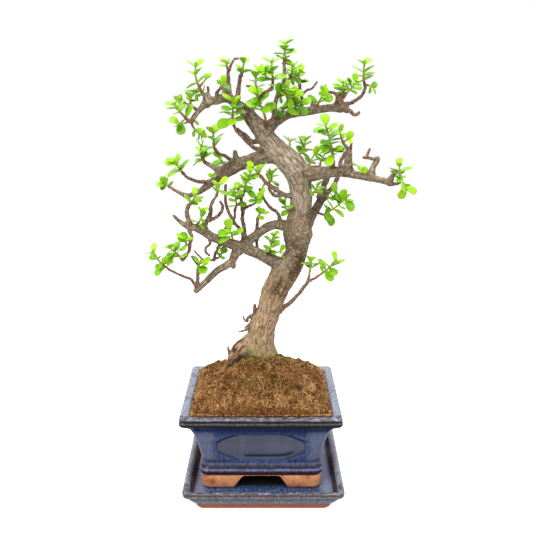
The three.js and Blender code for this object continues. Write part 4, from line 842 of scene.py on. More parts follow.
def smoothWay(points, radii, step):
    # a cubic through every point, with its slope from both neighbours weighed by their distances,
    # read at even steps of its length
    table = np.c_[points, radii]
    knots = lengthsAlong(points)
    spans = np.diff(knots)[:, None]
    slopes = np.diff(table, axis=0) / spans
    middle = (slopes[:-1] * spans[1:] + slopes[1:] * spans[:-1]) / (spans[1:] + spans[:-1])
    slopes = np.concatenate([slopes[:1], middle, slopes[-1:]])
    count = max(3, int(round(knots[-1] / step)) + 1)
    places = np.linspace(0, knots[-1], count)
    i = np.clip(np.searchsorted(knots, places, side="right") - 1, 0, len(spans) - 1)
    h = spans[i]
    t = ((places - knots[i]) / h[:, 0])[:, None]
    table = ((2 * t ** 3 - 3 * t ** 2 + 1) * table[i] + (t ** 3 - 2 * t ** 2 + t) * h * slopes[i]
             + (3 * t ** 2 - 2 * t ** 3) * table[i + 1] + (t ** 3 - t ** 2) * h * slopes[i + 1])
    return table[:, :3], np.maximum(table[:, 3], tubeSettings["leastRadius"]), places


def framesAlong(points):
    # directions along, across and other at each point, carried on without twist
    along = unit(np.gradient(points, axis=0))
    across = levelAcross(along[0])
    rows = []
    for direction in along:
        across = unit(across - direction * np.dot(across, direction))
        rows.append(across)
    across = np.array(rows)
    return along, across, np.cross(along, across)


def closedTube(points, radii, sides, swell):
    # a circle carried along the way, its radius times swell(ring, angle), with a domed end
    along, across, other = framesAlong(points)
    angles = anglesRound(sides)
    circle = np.cos(angles)[None, :, None] * across[:, None] + np.sin(angles)[None, :, None] * other[:, None]
    size = radii[:, None] * swell
    rings = points[:, None] + circle * size[..., None]
    domeHeight = along[-1] * radii[-1] * tubeSettings["domeHeight"]
    dome = [points[-1] + domeHeight * share + circle[-1] * size[-1][:, None] * narrow
            for share, narrow in tubeSettings["domeRings"]]
    return cappedRings(np.concatenate([rings, np.array(dome)]), points[0], points[-1] + domeHeight)


def tubeValues(values, sides):
    # one value for each ring of a tube, spread over its points, its dome and its two poles
    return spreadRows(np.concatenate([values, values[-1:], values[-1:]]), sides)


# Heavy wood: the trunk and thick limbs, grown together and barked

woodSettings = {
    "heavy": ("trunk", "root_left", "root_right", "low_left", "arch", "mid_left", "mid_right", "top_left",
              "top_right", "crown", "low_hanging", "right_hanging", "right_rise", "inner_arm", "left_outer",
              "far_stub", "knob_far", "knob_near", "left_stub", "top_stub"),
    "step": 1.4,            # mm between a limb's rings
    "sides": (28, 18),      # of a thick limb and of the others
    "thick": 9,
    "thickening": 0.05,     # how much a limb swells and narrows along its way
    "voxel": 0.88,          # mm
    "smoothing": 2,
    "unevenness": 0.07,     # of the radius
    "flare": 0.45,          # of a limb's foot
    "barkDepth": 0.5,       # mm
    "wrinkleDepth": 0.34,   # mm
    "wrinklePitch": 2.9,
    "ringPitch": 4.6,
    "flakyBelow": (228, 262),             # heights that the bark changes between
    "tanBelow": (222, 262),
    "bulge": (258, 268, 300, 318),        # heights of the wrinkled bands and of the dull one
    "crook": (228, 236, 246, 254),
    "dull": (236, 256, 294, 308),
    "thinLimb": (6.5, 11.5),              # radii that the bark darkens between
    "trunkNumbers": 2,                    # the trunk and its roots come first in the list
    "axisStep": 1.5,
    "limbOffset": 67.0,                   # between the limbs' places in the bark's noise
    "brownPatches": (       # x, z, radius in mm and strength
        (14, 226, 8, 1.4), (24, 221, 7, 0.6), (28, 240, 9, 0.95), (36, 251, 7, 0.8), (30, 273, 12, 0.55),
        (37, 263, 8, 0.6), (6.6, 386, 6, 0.8), (12, 397, 5, 0.7), (-31, 152, 10, 0.45), (-1, 150, 8, 0.2),
        (20, 197, 6, 0.4), (76, 345, 9, 0.6), (40, 343, 5, 0.7), (57, 312, 9, 0.9), (64, 325, 9, 0.9),
        (50, 300, 6, 0.6),
    ),
}


def unevenSwell(name, arc, radii, sides, amount):
    # noise round and along the limb, the same wherever the limb is read
    along = arc / np.maximum(radii, 2) * tubeSettings["unevenLength"]
    ring, angle = np.meshgrid(along, anglesRound(sides), indexing="ij")
    places = np.stack([1.1 * np.cos(angle), 1.1 * np.sin(angle), ring], -1).reshape(-1, 3)
    offset = sum(ord(letter) * (i + 3) for i, letter in enumerate(name)) % 97
    return 1 + amount * layeredNoise(places + offset, 5, 2).reshape(len(arc), sides)


def footFlare(name, arc, radii, share):
    # a twig widens where it leaves the surface of the wood that its axis starts in
    if name in (row[0] for row in limbs):
        return radii
    start = seatedWays[name][0][0]
    buried = 0
    for parent, (points, thick) in seatedWays.items():
        if parent != name and thick.max() > radii[0]:
            gaps = np.linalg.norm(points - start, axis=1)
            near = gaps.argmin()
            if gaps[near] < 0.5 * thick[near] + 3:
                buried = max(buried, thick[near])
    return radii * (1 + share * np.exp(-np.maximum(0, arc - buried) / (0.9 * radii[0])))


def heavyWood():
    # closed tubes of every thick limb, joined by a voxel remesh and smoothed once
    shapes = []
    for name in woodSettings["heavy"]:
        points, radii, arc = smoothWay(*seatedWays[name], woodSettings["step"])
        radii = footFlare(name, arc, radii, woodSettings["flare"])
        wave = layeredNoise(np.c_[arc / 5.0, arc * 0, arc * 0 + len(name)], 8, 2)
        radii = radii * (1 + woodSettings["thickening"] * wave)
        sides = woodSettings["sides"][0 if radii.max() > woodSettings["thick"] else 1]
        swell = unevenSwell(name, arc, radii, sides, woodSettings["unevenness"])
        shapes.append((*closedTube(points, radii, sides, swell), {}))
    rough = newObject("rough_wood", joinedMesh("rough_wood", shapes))
    remesh = rough.modifiers.new("remesh", "REMESH")
    remesh.mode = "VOXEL"
    remesh.voxel_size = woodSettings["voxel"] * millimetre
    remesh.use_smooth_shade = True
    smooth = rough.modifiers.new("smooth", "SMOOTH")
    smooth.factor = 0.5
    smooth.iterations = woodSettings["smoothing"]
    mesh = evaluatedMesh(rough)
    bpy.data.objects.remove(rough)
    mesh.name = "tree_wood"
    return mesh


def axisSamples():
    # dense points of the heavy limbs' axes with their frames, radii, lengths and numbers
    tables = []
    for number, name in enumerate(woodSettings["heavy"]):
        points, radius, arc = smoothWay(*seatedWays[name], woodSettings["axisStep"])
        unused, across, other = framesAlong(points)
        tables.append((points, across, other, radius, arc + woodSettings["limbOffset"] * number,
                       np.full(len(arc), number)))
    return [np.concatenate(parts) for parts in zip(*tables)]


def nearestSample(points, places, radii):
    # number of the axis point whose surface is nearest, worked out in slices
    best = np.zeros(len(points), np.int64)
    square = (places ** 2).sum(1)
    for first in range(0, len(points), 8000):
        part = points[first:first + 8000]
        distance = np.sqrt(np.maximum((part ** 2).sum(1)[:, None] + square[None] - 2 * part @ places.T, 0))
        best[first:first + 8000] = np.argmin(distance - radii[None], axis=1)
    return best


def ringsAt(wave):
    # narrow ridges at the whole numbers of a wave
    return np.exp(-((wave - np.round(wave)) / 0.13) ** 2)


def barkRelief(barkPlace, points, radius):
    # lengthwise fibres and flakes, cross wrinkles in bands of the trunk, and rings, in millimetres
    z = points[:, 2]
    thick = np.clip(radius / 9, 0.18, 1)
    fibre = layeredNoise(barkPlace * (0.42, 0.42, 0.1), 11, 3)
    flake = 1 - 2 * np.abs(layeredNoise(barkPlace * (0.5, 0.5, 0.2) + 40, 17, 2)) * 2
    lower = 1 - smoothStep(*woodSettings["flakyBelow"], z)
    fine = layeredNoise(barkPlace * (1.1, 1.1, 0.35), 23, 2)
    bulge = between(z, *woodSettings["bulge"]) * smoothStep(7, 10, radius)
    crook = between(z, *woodSettings["crook"]) * smoothStep(8, 10, radius)
    wave = barkPlace[:, 2] / woodSettings["wrinklePitch"] + 1.6 * layeredNoise(barkPlace * 0.09, 29, 2)
    wrinkle = np.abs(np.sin(np.pi * wave)) * 2 - 1
    wrinkleMask = np.clip(bulge + crook, 0, 1)
    relief = woodSettings["barkDepth"] * thick * (0.75 * fibre + 0.5 * lower * flake + 0.35 * fine)
    relief += woodSettings["wrinkleDepth"] * wrinkleMask * wrinkle
    small = 1 - smoothStep(4.5, 8, radius)
    wave = barkPlace[:, 2] / woodSettings["ringPitch"] + 0.5 * cornerNoise(barkPlace * (0.05, 0.05, 0.1), 37)
    rings = ringsAt(wave)
    relief += small * (0.16 * rings - 0.04)
    return relief, wrinkle * wrinkleMask, rings * small


def barkedWood():
    # the heavy wood moved along its normals by the bark's relief, with masks for its material
    mesh = heavyWood()
    points, normals = np.zeros((2, len(mesh.vertices) * 3), np.float32)
    mesh.vertices.foreach_get("co", points)
    mesh.vertex_normals.foreach_get("vector", normals)
    points = points.reshape(-1, 3).astype(float) / millimetre
    places, across, other, radii, arcs, numbers = axisSamples()
    nearest = nearestSample(points, places, radii)
    away = points - places[nearest]
    along = np.cross(across[nearest], other[nearest])
    barkPlace = np.stack([(away * across[nearest]).sum(1), (away * other[nearest]).sum(1),
                          arcs[nearest] + (away * along).sum(1)], 1)
    radius = radii[nearest]
    relief, wrinkle, rings = barkRelief(barkPlace, points, radius)
    points += normals.reshape(-1, 3) * relief[:, None]
    mesh.vertices.foreach_set("co", (points * millimetre).astype(np.float32).ravel())
    mesh.update()
    x, z = points[:, 0], points[:, 2]
    onTrunk = (numbers[nearest] <= woodSettings["trunkNumbers"]).astype(float)
    browned = sum(strength * np.exp(-((x - middle) ** 2 + (z - high) ** 2) / wide ** 2)
                  for middle, high, wide, strength in woodSettings["brownPatches"])
    setAttributes(mesh, {
        "barkPlace": barkPlace * millimetre,
        "tan": onTrunk * (1 - smoothStep(*woodSettings["tanBelow"], z + 9 * cornerNoise(points * 0.06, 41))),
        # painted shade: how deep the bark's relief lies, to darken its hollows
        "hollow": np.clip(0.5 - relief / woodSettings["barkDepth"], 0, 1),
        "wrinkle": np.clip(np.abs(wrinkle), 0, 1),
        "ringed": rings,
        "browned": np.clip(browned * (1 + 1.1 * layeredNoise(points * 0.22, 43, 2)), 0, 1),
        # crumbling brown bark on the root stub
        "stub": smoothStep(-19, -25, x) * (1 - smoothStep(172, 180, z)),
        "limb": 1 - smoothStep(*woodSettings["thinLimb"], radius),
        "dull": onTrunk * between(z, *woodSettings["dull"]),
    })
    return mesh


# Bark material: silver grey above, tan and flaky below, with stains, wrinkles and moss at the foot, and
# painted shade in its hollows and where it meets the soil.
# Its streaks run along the wood, in coordinates that follow it: x and y across, z along.

barkStreaks = noiseGroup("barkStreaks", (
    ("Streaks", True, 520.0, 4.0, 0.62), ("Flecks", True, 1150.0, 2.0, 0.5),
    ("Patches", False, 95.0, 3.0, 0.5, 0.4)))
barkColours = {
    "greyLight": (194, 178, 158), "grey": (154, 137, 117), "greyDark": (96, 79, 62),
    "tanLight": (190, 164, 130), "tan": (158, 131, 99), "tanDark": (96, 72, 50),
    "stain": (142, 110, 92), "brown": (96, 70, 44), "brownDark": (48, 33, 22), "stubLight": (200, 158, 122),
    "limb": (92, 78, 58), "dull": (124, 104, 76), "hollow": (52, 38, 28), "ring": (186, 168, 140),
    "moss": (128, 150, 60),
}


def woodMaterial():
    # grey streaked bark, with tan, brown, dull, crumbling and mossy layers by mask and height, and painted
    # shade in the hollows and at the foot
    startMaterial("bark", barkColours, Roughness=0.88, SpecularIORLevel=0.2)
    place = placeHere()
    streaks = noisesFrom(barkStreaks, attribute("barkPlace", "Vector"), 0.24)
    mottle = noise(place, 360.0, 4.0, 0.7)
    height = partOf(place, "Z")
    stub = attribute("stub")
    grey = ramp(streaks["Streaks"], (0.33, "greyDark"), (0.46, "grey"), (0.62, "greyLight"))
    tan = ramp(streaks["Streaks"], (0.3, "tanDark"), (0.44, "tan"), (0.62, "tanLight"))
    brown = ramp(streaks["Flecks"], (0.35, "brownDark"), (0.6, "brown"))
    crumbling = ramp(streaks["Streaks"], (0.38, "brownDark"), (0.5, "brown"), (0.64, "stubLight"))
    mossy = times(rescale(height, 0.162, 0.142), rescale(noise(place, 140.0), 0.5, 0.62))
    colour = layered(grey, (
        (attribute("tan"), tan),
        (rescale(streaks["Patches"], 0.52, 0.68, 0, 0.55), "stain"),
        (times(attribute("limb"), rescale(mottle, 0.4, 0.6, 0.3, 0.85)), "limb"),
        (times(attribute("dull"), rescale(mottle, 0.42, 0.6, 0.15, 0.8)), "dull"),
        (rescale(mottle, 0.54, 0.7, 0, 0.55), "greyDark"),
        (rescale(mottle, 0.44, 0.3, 0, 0.35), "tanLight"),
        (times(attribute("browned"), rescale(mottle, 0.36, 0.56, 0.35, 1)), brown),
        (times(attribute("ringed"), 0.25), "ring"),
        (rescale(attribute("wrinkle"), 0.25, 1.0, 0, 0.42), "tanDark"),
        (rescale(streaks["Flecks"], 0.58, 0.72, 0, 0.7), "tanDark"),
        # painted shade in the bark's hollows
        (rescale(attribute("hollow"), 0.55, 1.0, 0, 0.5), "hollow"),
        (times(stub, rescale(mottle, 0.36, 0.5, 0.5, 0.9)), crumbling),
        (times(mossy, minus(1.0, stub)), "moss"),
        # painted shade: darker brown at the trunk's foot just above the soil
        (rescale(height, 0.148, 0.141, 0, 0.5), "brownDark"),
    ))
    relief = bump(mottle, 0.5, 0.0006, bump(streaks["Streaks"], 0.7, 0.0008))
    return finishMaterial(BaseColor=colour, Normal=bump(streaks["Flecks"], 0.3, 0.0003, relief))


woodPiece = addPiece("tree_wood", barkedWood(), woodMaterial(), "trunk")
print("wood:", len(woodPiece.data.polygons), "faces")


# Thin twigs: tubes with a ring at each old leaf scar, widened where they leave the wood

twigSettings = {
    "sides": 9,
    "step": 0.85,       # mm between rings
    "scarPitch": 5.2,   # mm
    "scarSwell": 0.24,
    "flare": 0.5,
    "unevenness": 0.17,
    "wander": 0.32,     # how far the way strays, in radii
}


def scarredTwig(name, settings):
    # the radius swells in a narrow ring at each scar and changes a little round the twig
    points, radii, arc = smoothWay(*seatedWays[name], settings["step"])
    offset = sum(map(ord, name)) % 13
    wave = arc / twigSettings["scarPitch"] + offset * 0.37
    scars = ringsAt(wave + 0.25 * np.sin(wave * 2.1 + offset))
    uneven = unevenSwell(name, arc, radii, settings["sides"], twigSettings["unevenness"])
    bends = [layeredNoise(np.c_[arc / 4.5, arc * 0 + k, arc * 0 + offset], 50 + k, 2) for k in range(3)]
    wander = twigSettings["wander"] * np.stack(bends, 1) * np.minimum(1, arc / 6)[:, None]
    swell = uneven * (1 + settings["scarSwell"] * scars[:, None])
    return points + wander * radii[:, None], radii, arc, scars, swell


def thinTwigs():
    # every way that is neither heavy wood nor a spray's, as a ringed tube with a flared foot
    shapes = []
    sides = twigSettings["sides"]
    for name in seatedWays:
        if name not in sprayOf and name not in woodSettings["heavy"]:
            points, radii, arc, scars, swell = scarredTwig(name, twigSettings)
            radii = footFlare(name, arc, radii, twigSettings["flare"])
            shapes.append((*closedTube(points, radii, sides, swell), {
                "scar": tubeValues(scars, sides), "girth": np.clip(tubeValues(radii, sides) / 4, 0, 1)}))
    return joinedMesh("tree_twigs", shapes)


twigColours = {
    "brown": (112, 84, 68), "brownLight": (158, 132, 112), "brownDark": (62, 42, 36),
    "greyBrown": (126, 106, 86), "scar": (162, 138, 114),
}


def twigMaterial():
    # brown by fine noise, greyer where the twig is thick and paler on its scars
    startMaterial("twigBark", twigColours, Roughness=0.78, SpecularIORLevel=0.25)
    place = placeHere()
    fine = noise(place, 520.0, 4.0, 0.7)
    colour = layered(ramp(fine, (0.36, "brownDark"), (0.5, "brown"), (0.64, "brownLight")), (
        (rescale(attribute("girth"), 0.42, 0.85, 0, 0.8), "greyBrown"),
        (times(attribute("scar"), 0.45), "scar"),
        (rescale(noise(place, 160.0), 0.55, 0.7, 0, 0.5), "brownDark"),
    ))
    return finishMaterial(BaseColor=colour, Normal=bump(fine, 0.5, 0.0004))


twigPiece = addPiece("tree_twigs", thinTwigs(), twigMaterial(), "trunk")
print("twigs:", len(twigPiece.data.polygons), "faces")


# Leafy sprays: a ringed green stem and its fleshy leaves, one piece for each spray

spraySettings = {
    "sides": 8,
    "step": 0.9,          # mm between a stem's rings
    "scarSwell": 0.22,
    "leafRings": (0.06, 0.2, 0.38, 0.58, 0.77, 0.92),
    "leafSides": 8,
    "leafThickness": 1.25,
    "ringThickness": (0.75, 0.95, 1.0, 0.95, 0.8, 0.55),   # as a share of the leaf's
    "leafCup": 0.1,       # how far the margins stand up, as a share of the half width
    "longer": 1.2,        # than the CAD model's leaves, which leave gaps between them
    "broader": (0.96, 1.26),
    "budLeaf": 3.6,       # length of the smallest pair at a tip
    "budSizes": (0.7, 1.25),
    "budLifts": (62, 76),   # degrees
    "budTilts": (-0.3, 0.3),
    "young": 0.35,        # how much lighter the pair at a tip is
    "toneSpread": 0.22,
    "footFlare": (0.45, 2.5),   # share of the radius, and how far it reaches in mm
    "seed": 77,
}
sprayDraws = np.random.default_rng(spraySettings["seed"])


def fleshyLeaf(leaf, tone):
    # rings across the leaf: flat oval sections, cupped a little, between a pole at either end
    rings = np.array(spraySettings["leafRings"])
    angles = anglesRound(spraySettings["leafSides"])
    leaf = {**leaf, "size": leaf["size"] * spraySettings["longer"]}
    slender, broad = spraySettings["broader"]
    half = leafHalfWidth(leaf["size"], rings) * (slender + (broad - slender) * (tone * 7.3 % 1))
    half = (half * (1 + 0.03 * np.sin(7 * rings + 9 * tone)))[:, None]
    s = half * np.sign(np.cos(angles)) * np.abs(np.cos(angles)) ** 0.85
    depth = spraySettings["leafThickness"] * (0.55 + 0.45 * min(1.2, leaf["size"] / 10))
    thickness = depth * np.array(spraySettings["ringThickness"])[:, None]
    sine = np.sin(angles)
    h = thickness * np.where(sine > 0, 0.34, 0.6) * sine + spraySettings["leafCup"] * s * s / half
    t = np.broadcast_to(rings[:, None], s.shape)
    poles = leafPoints(leaf, [0.0, 0.995], [0, 0], [0, 0])
    points, quads, triangles = cappedRings(leafPoints(leaf, t, s, h), *poles)
    alongLeaf = withPoles(t, 0, 1)
    place = np.stack([withPoles(s / half), alongLeaf, 0 * alongLeaf], 1)
    # the section runs from side to face, and ahead is face crossed with side, so the rings run backwards
    return points, quads[:, ::-1], triangles[:, ::-1], {
        "leafPlace": place, "tone": np.full(len(points), tone), "stem": np.zeros(len(points)),
        "tip": np.ones(len(points))}


def budLeaves(name):
    # the smallest pair at a shoot's tip, standing nearly upright
    points, unused = seatedWays[name]
    along = unit(points[-1] - points[-2])
    across = unit(levelAcross(along))
    turn = sprayDraws.uniform(0, math.pi)
    for half in (0, 1):
        yield leafFrame({"base": points[-1] - along * 0.3, "along": along, "across": across,
                         "other": np.cross(along, across), "turn": turn + half * math.pi,
                         "lift": math.radians(sprayDraws.uniform(*spraySettings["budLifts"])),
                         "size": spraySettings["budLeaf"] * sprayDraws.uniform(*spraySettings["budSizes"]),
                         "bend": 0.05, "tilt": sprayDraws.uniform(*spraySettings["budTilts"])})


def sprayShapes(node):
    # the stems of a spray, each with its smallest pair, and then the placed leaves
    shapes = []
    sides = spraySettings["sides"]
    for name in (stem for stem, owner in sprayOf.items() if owner == node):
        points, radii, arc, scars, swell = scarredTwig(name, spraySettings)
        flare, reach = spraySettings["footFlare"]
        radii = radii * (1 + flare * np.exp(-arc / reach))
        shape = closedTube(points, radii, sides, swell)
        leafy = shootLeaves[name][0]
        tip = arc / arc[-1] if leafy else 0.35 * arc / arc[-1]
        count = len(shape[0])
        place = np.stack([np.clip(tubeValues(radii, sides) / 4, 0, 1), tubeValues(arc, sides) * millimetre,
                          tubeValues(scars, sides)], 1)
        shapes.append((*shape, {"leafPlace": place, "tone": np.full(count, sprayDraws.uniform()),
                                "stem": np.ones(count), "tip": tubeValues(tip, sides)}))
        if leafy:
            shapes += [fleshyLeaf(leaf, sprayDraws.uniform(0, 0.4)) for leaf in list(budLeaves(name))]
    for leaf in (leaf for leaf, owner in leaves if owner == node):
        middle = 0.5 - (spraySettings["young"] if leaf["pair"] == 0 else 0.0)
        tone = float(np.clip(sprayDraws.normal(middle, spraySettings["toneSpread"]), 0, 1))
        shapes.append(fleshyLeaf(leaf, tone))
    return shapes


leafColours = {
    "young": (156, 202, 20), "fresh": (140, 194, 14), "full": (112, 172, 10), "old": (80, 140, 6),
    "margin": (178, 208, 64), "stemGreen": (150, 170, 60), "stemRed": (140, 84, 62),
    "stemBrown": (112, 78, 60), "scar": (172, 120, 88),
}


def sprayMaterial():
    # green by each leaf's tone and a cloud, paler at the margin, and stems that turn to bark with girth
    startMaterial("fleshyLeaf", {**twigColours, **leafColours}, SpecularIORLevel=0.26, CoatWeight=0.05,
                  CoatRoughness=0.25, SubsurfaceWeight=0.22, SubsurfaceRadius=(0.6, 1.0, 0.2),
                  SubsurfaceScale=0.0016)
    place = placeHere()
    cloud = noise(place, 220.0, 3.0)
    leafPlace = attribute("leafPlace", "Vector")
    stemShare = attribute("stem")
    tone = minus(plus(attribute("tone"), times(cloud, 0.3)), 0.15)
    green = layered(ramp(tone, (0.05, "young"), (0.35, "fresh"), (0.65, "full"), (0.95, "old")), (
        (rescale(mathOf("ABSOLUTE", partOf(leafPlace, "X"), 0), 0.8, 1.0, 0, 0.35), "margin"),
        (rescale(partOf(leafPlace, "Y"), 0.25, 0.0, 0, 0.4), "margin"),
    ))
    bark = ramp(noise(place, 520.0, 4.0, 0.7), (0.36, "brownDark"), (0.5, "greyBrown"), (0.64, "brownLight"))
    stem = layered(ramp(attribute("tip"), (0.0, "stemBrown"), (0.3, "stemRed"), (0.62, "stemGreen")), (
        (rescale(partOf(leafPlace, "X"), 0.3, 0.5), bark),
        (times(partOf(leafPlace, "Z"), 0.5), "scar"),
    ))
    roughness = plus(plus(times(stemShare, 0.25), 0.3), times(cloud, 0.1))
    return finishMaterial(BaseColor=mixed(stemShare, green, stem), Roughness=roughness,
                          Normal=bump(noise(place, 1400.0, 2.0), 0.18, 0.0002))


leafMaterial = sprayMaterial()
leafFaces = 0
for node in dict.fromkeys(sprayOf.values()):
    mesh = joinedMesh("leafy_" + node, sprayShapes(node))
    addPiece(mesh.name, mesh, leafMaterial, "spray_" + node)
    leafFaces += len(mesh.polygons)
print("sprays:", leafFaces, "faces")


# Ceramic: closed profiles carried round a rectangle with round corners

def aroundRectangle(sideX, sideY, arc):
    # columns round the rectangle from the front's left end: how far along each straight side the
    # column stands, from -1 to 1, and which way its corner circle looks
    turns = np.linspace(0, np.pi / 2, arc)
    fractions, directions = [], []
    for side, count in enumerate((sideX, sideY, sideX, sideY)):
        base = np.pi / 2 * (side - 1)
        outward = np.array([math.cos(base), math.sin(base)])
        forward = np.array([-math.sin(base), math.cos(base)])
        along = np.linspace(-1, 1, count, endpoint=False)[1:]
        fractions += [outward + forward * along[:, None], np.tile(outward + forward, (arc, 1))]
        directions += [np.tile(outward, (len(along), 1)),
                       np.stack([np.cos(base + turns), np.sin(base + turns)], 1)]
    return np.concatenate(fractions), np.concatenate(directions)


def profileRings(profile, columns, sideStep):
    # each profile row is height, half width and corner radius, and half depth is half width less the step
    fractions, directions = columns
    z, half, corner = (profile[:, i][:, None] for i in range(3))
    x = fractions[:, 0] * (half - corner) + directions[:, 0] * corner
    y = fractions[:, 1] * (half - sideStep - corner) + directions[:, 1] * corner
    return np.stack([x, y, np.broadcast_to(z, x.shape)], -1)


def densified(profile, step, blur):
    # the profile read at even steps, its corners rounded by a running average of the given width
    profile = np.array(profile, float)
    places = np.concatenate([[0], np.cumsum(np.hypot(np.diff(profile[:, 0]), np.diff(profile[:, 1])))])
    fine = np.linspace(0, places[-1], int(places[-1] / 0.1) + 1)
    table = np.stack([np.interp(fine, places, profile[:, i]) for i in range(3)], 1)
    width = max(1, int(blur / 0.1)) | 1
    for unused in range(2):
        padded = np.pad(table, ((width // 2, width // 2), (0, 0)), "edge")
        sums = np.concatenate([np.zeros((1, 3)), np.cumsum(padded, 0)])
        table = (sums[width:] - sums[:-width]) / width
    count = int(round(places[-1] / step)) + 1
    return table[np.linspace(0, len(fine) - 1, count).astype(int)]


def closedPot(rings):
    # the first ring's middle looks down, and the last ring's looks up
    return cappedRings(rings, rings[0].mean(0), rings[-1].mean(0))


potSettings = {
    "shift": (-2.5, 5.0),      # of the pot's centre on the saucer, mm
    "sideStep": 18,
    "columns": (138, 100, 9),
    # height, half width, corner radius
    "outside": [[30.4, 40, 8], [30.4, 55, 8], [31.1, 62.4, 8], [31.8, 63.8, 8], [33.6, 64.5, 8.6],
                [35.2, 65, 9], [36.2, 65.3, 9], [38.5, 65.2, 9],
                [39.7, 64.2, 9], [40.7, 62.8, 8], [44.5, 61.8, 7.5], [56, 63.6, 7], [70, 66.3, 6.3],
                [82, 69.6, 5.8], [90, 72.9, 5.5], [95.2, 77.6, 5.2], [96.8, 79.9, 5], [98, 81.6, 5],
                [99.6, 82.4, 5], [101.6, 82.4, 5], [102.8, 81.6, 5], [103.3, 80.9, 5], [103.9, 80.9, 5],
                [104.5, 82, 5], [105.4, 82.1, 4.8], [106.2, 80.9, 4.4]],
    "inside": [[106.3, 77, 4.5], [106, 73.6, 4.5], [104.8, 72.2, 4.5], [92, 65.6, 5], [72, 60.5, 5],
               [40, 55.3, 6], [36, 52.3, 5], [36, 46, 5]],
    "panelMiddle": 66.5,       # height
    "panelHalfHeight": 17.0,
    "panelHalfWidths": ((1, 46.0), (0, 28.0)),   # front and back, sides
    "panelDepth": 1.5,
    "panelSoftness": 1.6,
    "wallLean": 13,            # degrees
    "wallHeights": (44, 94),
    "flankHeights": (46, 54, 84, 90),   # of the painted grey reflection beside the panels
    "rimHeights": (105.2, 106.1),
    "drainX": 30.0,
    "drainRadius": 7.0,
}


def panelDistance(across, up, halfWidth, halfHeight):
    # how far inside an eight-sided panel with long cut corners and slightly bowed sides
    cutX, cutZ = halfWidth * 0.42, halfHeight * 0.62
    besideX, besideZ = halfWidth - np.abs(across), halfHeight - np.abs(up)
    normal = np.array([cutZ, cutX]) / math.hypot(cutX, cutZ)
    corner = besideX * normal[0] + besideZ * normal[1] - cutX * cutZ / math.hypot(cutX, cutZ)
    softness = potSettings["panelSoftness"]
    return -softness * np.log(np.exp(-np.stack([besideX, besideZ, corner]) / softness).sum(0))


def potShape():
    # the profile's rings with a recessed panel on each side, and the masks of its glaze and of its painted
    # reflection
    settings = potSettings
    outside = densified(settings["outside"], 1.0, 0.8)
    profile = np.concatenate([outside, densified(settings["inside"], 2.2, 1.4)])
    columns = aroundRectangle(*settings["columns"])
    directions = columns[1]
    rings = profileRings(profile, columns, settings["sideStep"])
    heights = profile[:, 0]
    inner = np.arange(len(profile)) >= len(outside)
    wall = (heights > settings["wallHeights"][0]) & (heights < settings["wallHeights"][1]) & ~inner
    up = (rings[..., 2] - settings["panelMiddle"]) / math.cos(math.radians(settings["wallLean"]))
    facing = np.abs(directions)[None] > 0.999
    masks = {key: np.zeros(rings.shape[:2]) for key in ("panel", "pool", "flank", "glow")}
    for axis, halfWidth in settings["panelHalfWidths"]:
        across = rings[..., 1 - axis]
        inward = panelDistance(across, up, halfWidth, settings["panelHalfHeight"])
        # glaze pooled dark in the cut corners, along the panel's foot and in a line above it, and
        # run thin and bright blue just outside the recess
        aside = np.abs(across) / halfWidth
        raised = up / settings["panelHalfHeight"]
        corners = (ridge(inward, -0.2, 1.8) * smoothStep(0.45, 0.62, aside)
                   * np.where(raised > 0, smoothStep(0.2, 0.42, raised),
                              0.75 * smoothStep(0.15, 0.4, -raised)))
        edges = ridge(inward, 0, 0.8) * np.where(up > 0, 0.12, 0.4)
        footLine = ridge(inward, 4.2, 2.0) * (up < 0) * between(across / halfWidth, -0.45, -0.3, 0.66, 0.8)
        halo = 0.25 + 0.75 * smoothStep(0.1, 0.5, -raised)
        halo = halo + 0.4 * (raised > 0.2) * smoothStep(0.5, 0.7, aside)
        glow = np.maximum(ridge(inward, -2.4, 1.5) * halo,
                          0.8 * ridge(inward, 1.7, 1.1) * smoothStep(0.3, 0.6, -raised))
        # painted reflection: a grey sheen of the surround on the glossy wall beside the panels
        flank = (smoothStep(1.5, 8.0, -inward) * between(rings[..., 2], *settings["flankHeights"])
                 * smoothStep(0.95, 1.15, aside))
        here = {"panel": smoothStep(-1.1, 1.5, inward), "flank": flank, "glow": glow,
                "pool": np.maximum(np.maximum(corners, edges), footLine)}
        for key in masks:
            masks[key] = np.where(wall[:, None] & facing[..., axis], here[key], masks[key])
    masks["flank"][:, ~facing[0].any(1)] = (wall * between(heights, *settings["flankHeights"]))[:, None]
    push = settings["panelDepth"] * masks["panel"]
    rings[..., :2] -= directions[None] * push[..., None]
    rings[..., 2] += 0.15 * push
    points, quads, triangles = closedPot(rings)
    count = rings.shape[1]
    cornerEdge = smoothStep(0.16, 0.28, 1 - np.abs(directions).max(1))
    return points, quads, triangles, {
        "rimTop": spreadRows(smoothStep(*settings["rimHeights"], heights) * (profile[:, 1] > 70), count),
        "inner": spreadRows(inner * 1.0, count),
        "innerWall": spreadRows(inner * 0.4, count),
        "corner": withPoles(np.tile(cornerEdge, len(profile))),
        "shaded": np.zeros(len(points)),
        **{key: withPoles(mask) for key, mask in masks.items()},
    }


def drilled(piece, places, radius, low, high):
    # round holes cut straight down, then kept in the mesh
    angles = anglesRound(28)
    circle = np.stack([radius * np.cos(angles), radius * np.sin(angles), 0 * angles], 1)
    shapes = [(*closedPot(np.stack([circle + (x, y, low), circle + (x, y, high)])), {}) for x, y in places]
    cutter = newObject("drill", joinedMesh("drill", shapes))
    cut = piece.modifiers.new("drain", "BOOLEAN")
    cut.object = cutter
    cut.solver = "EXACT"
    mesh = evaluatedMesh(piece)
    piece.modifiers.clear()
    piece.data = mesh
    bpy.data.objects.remove(cutter)


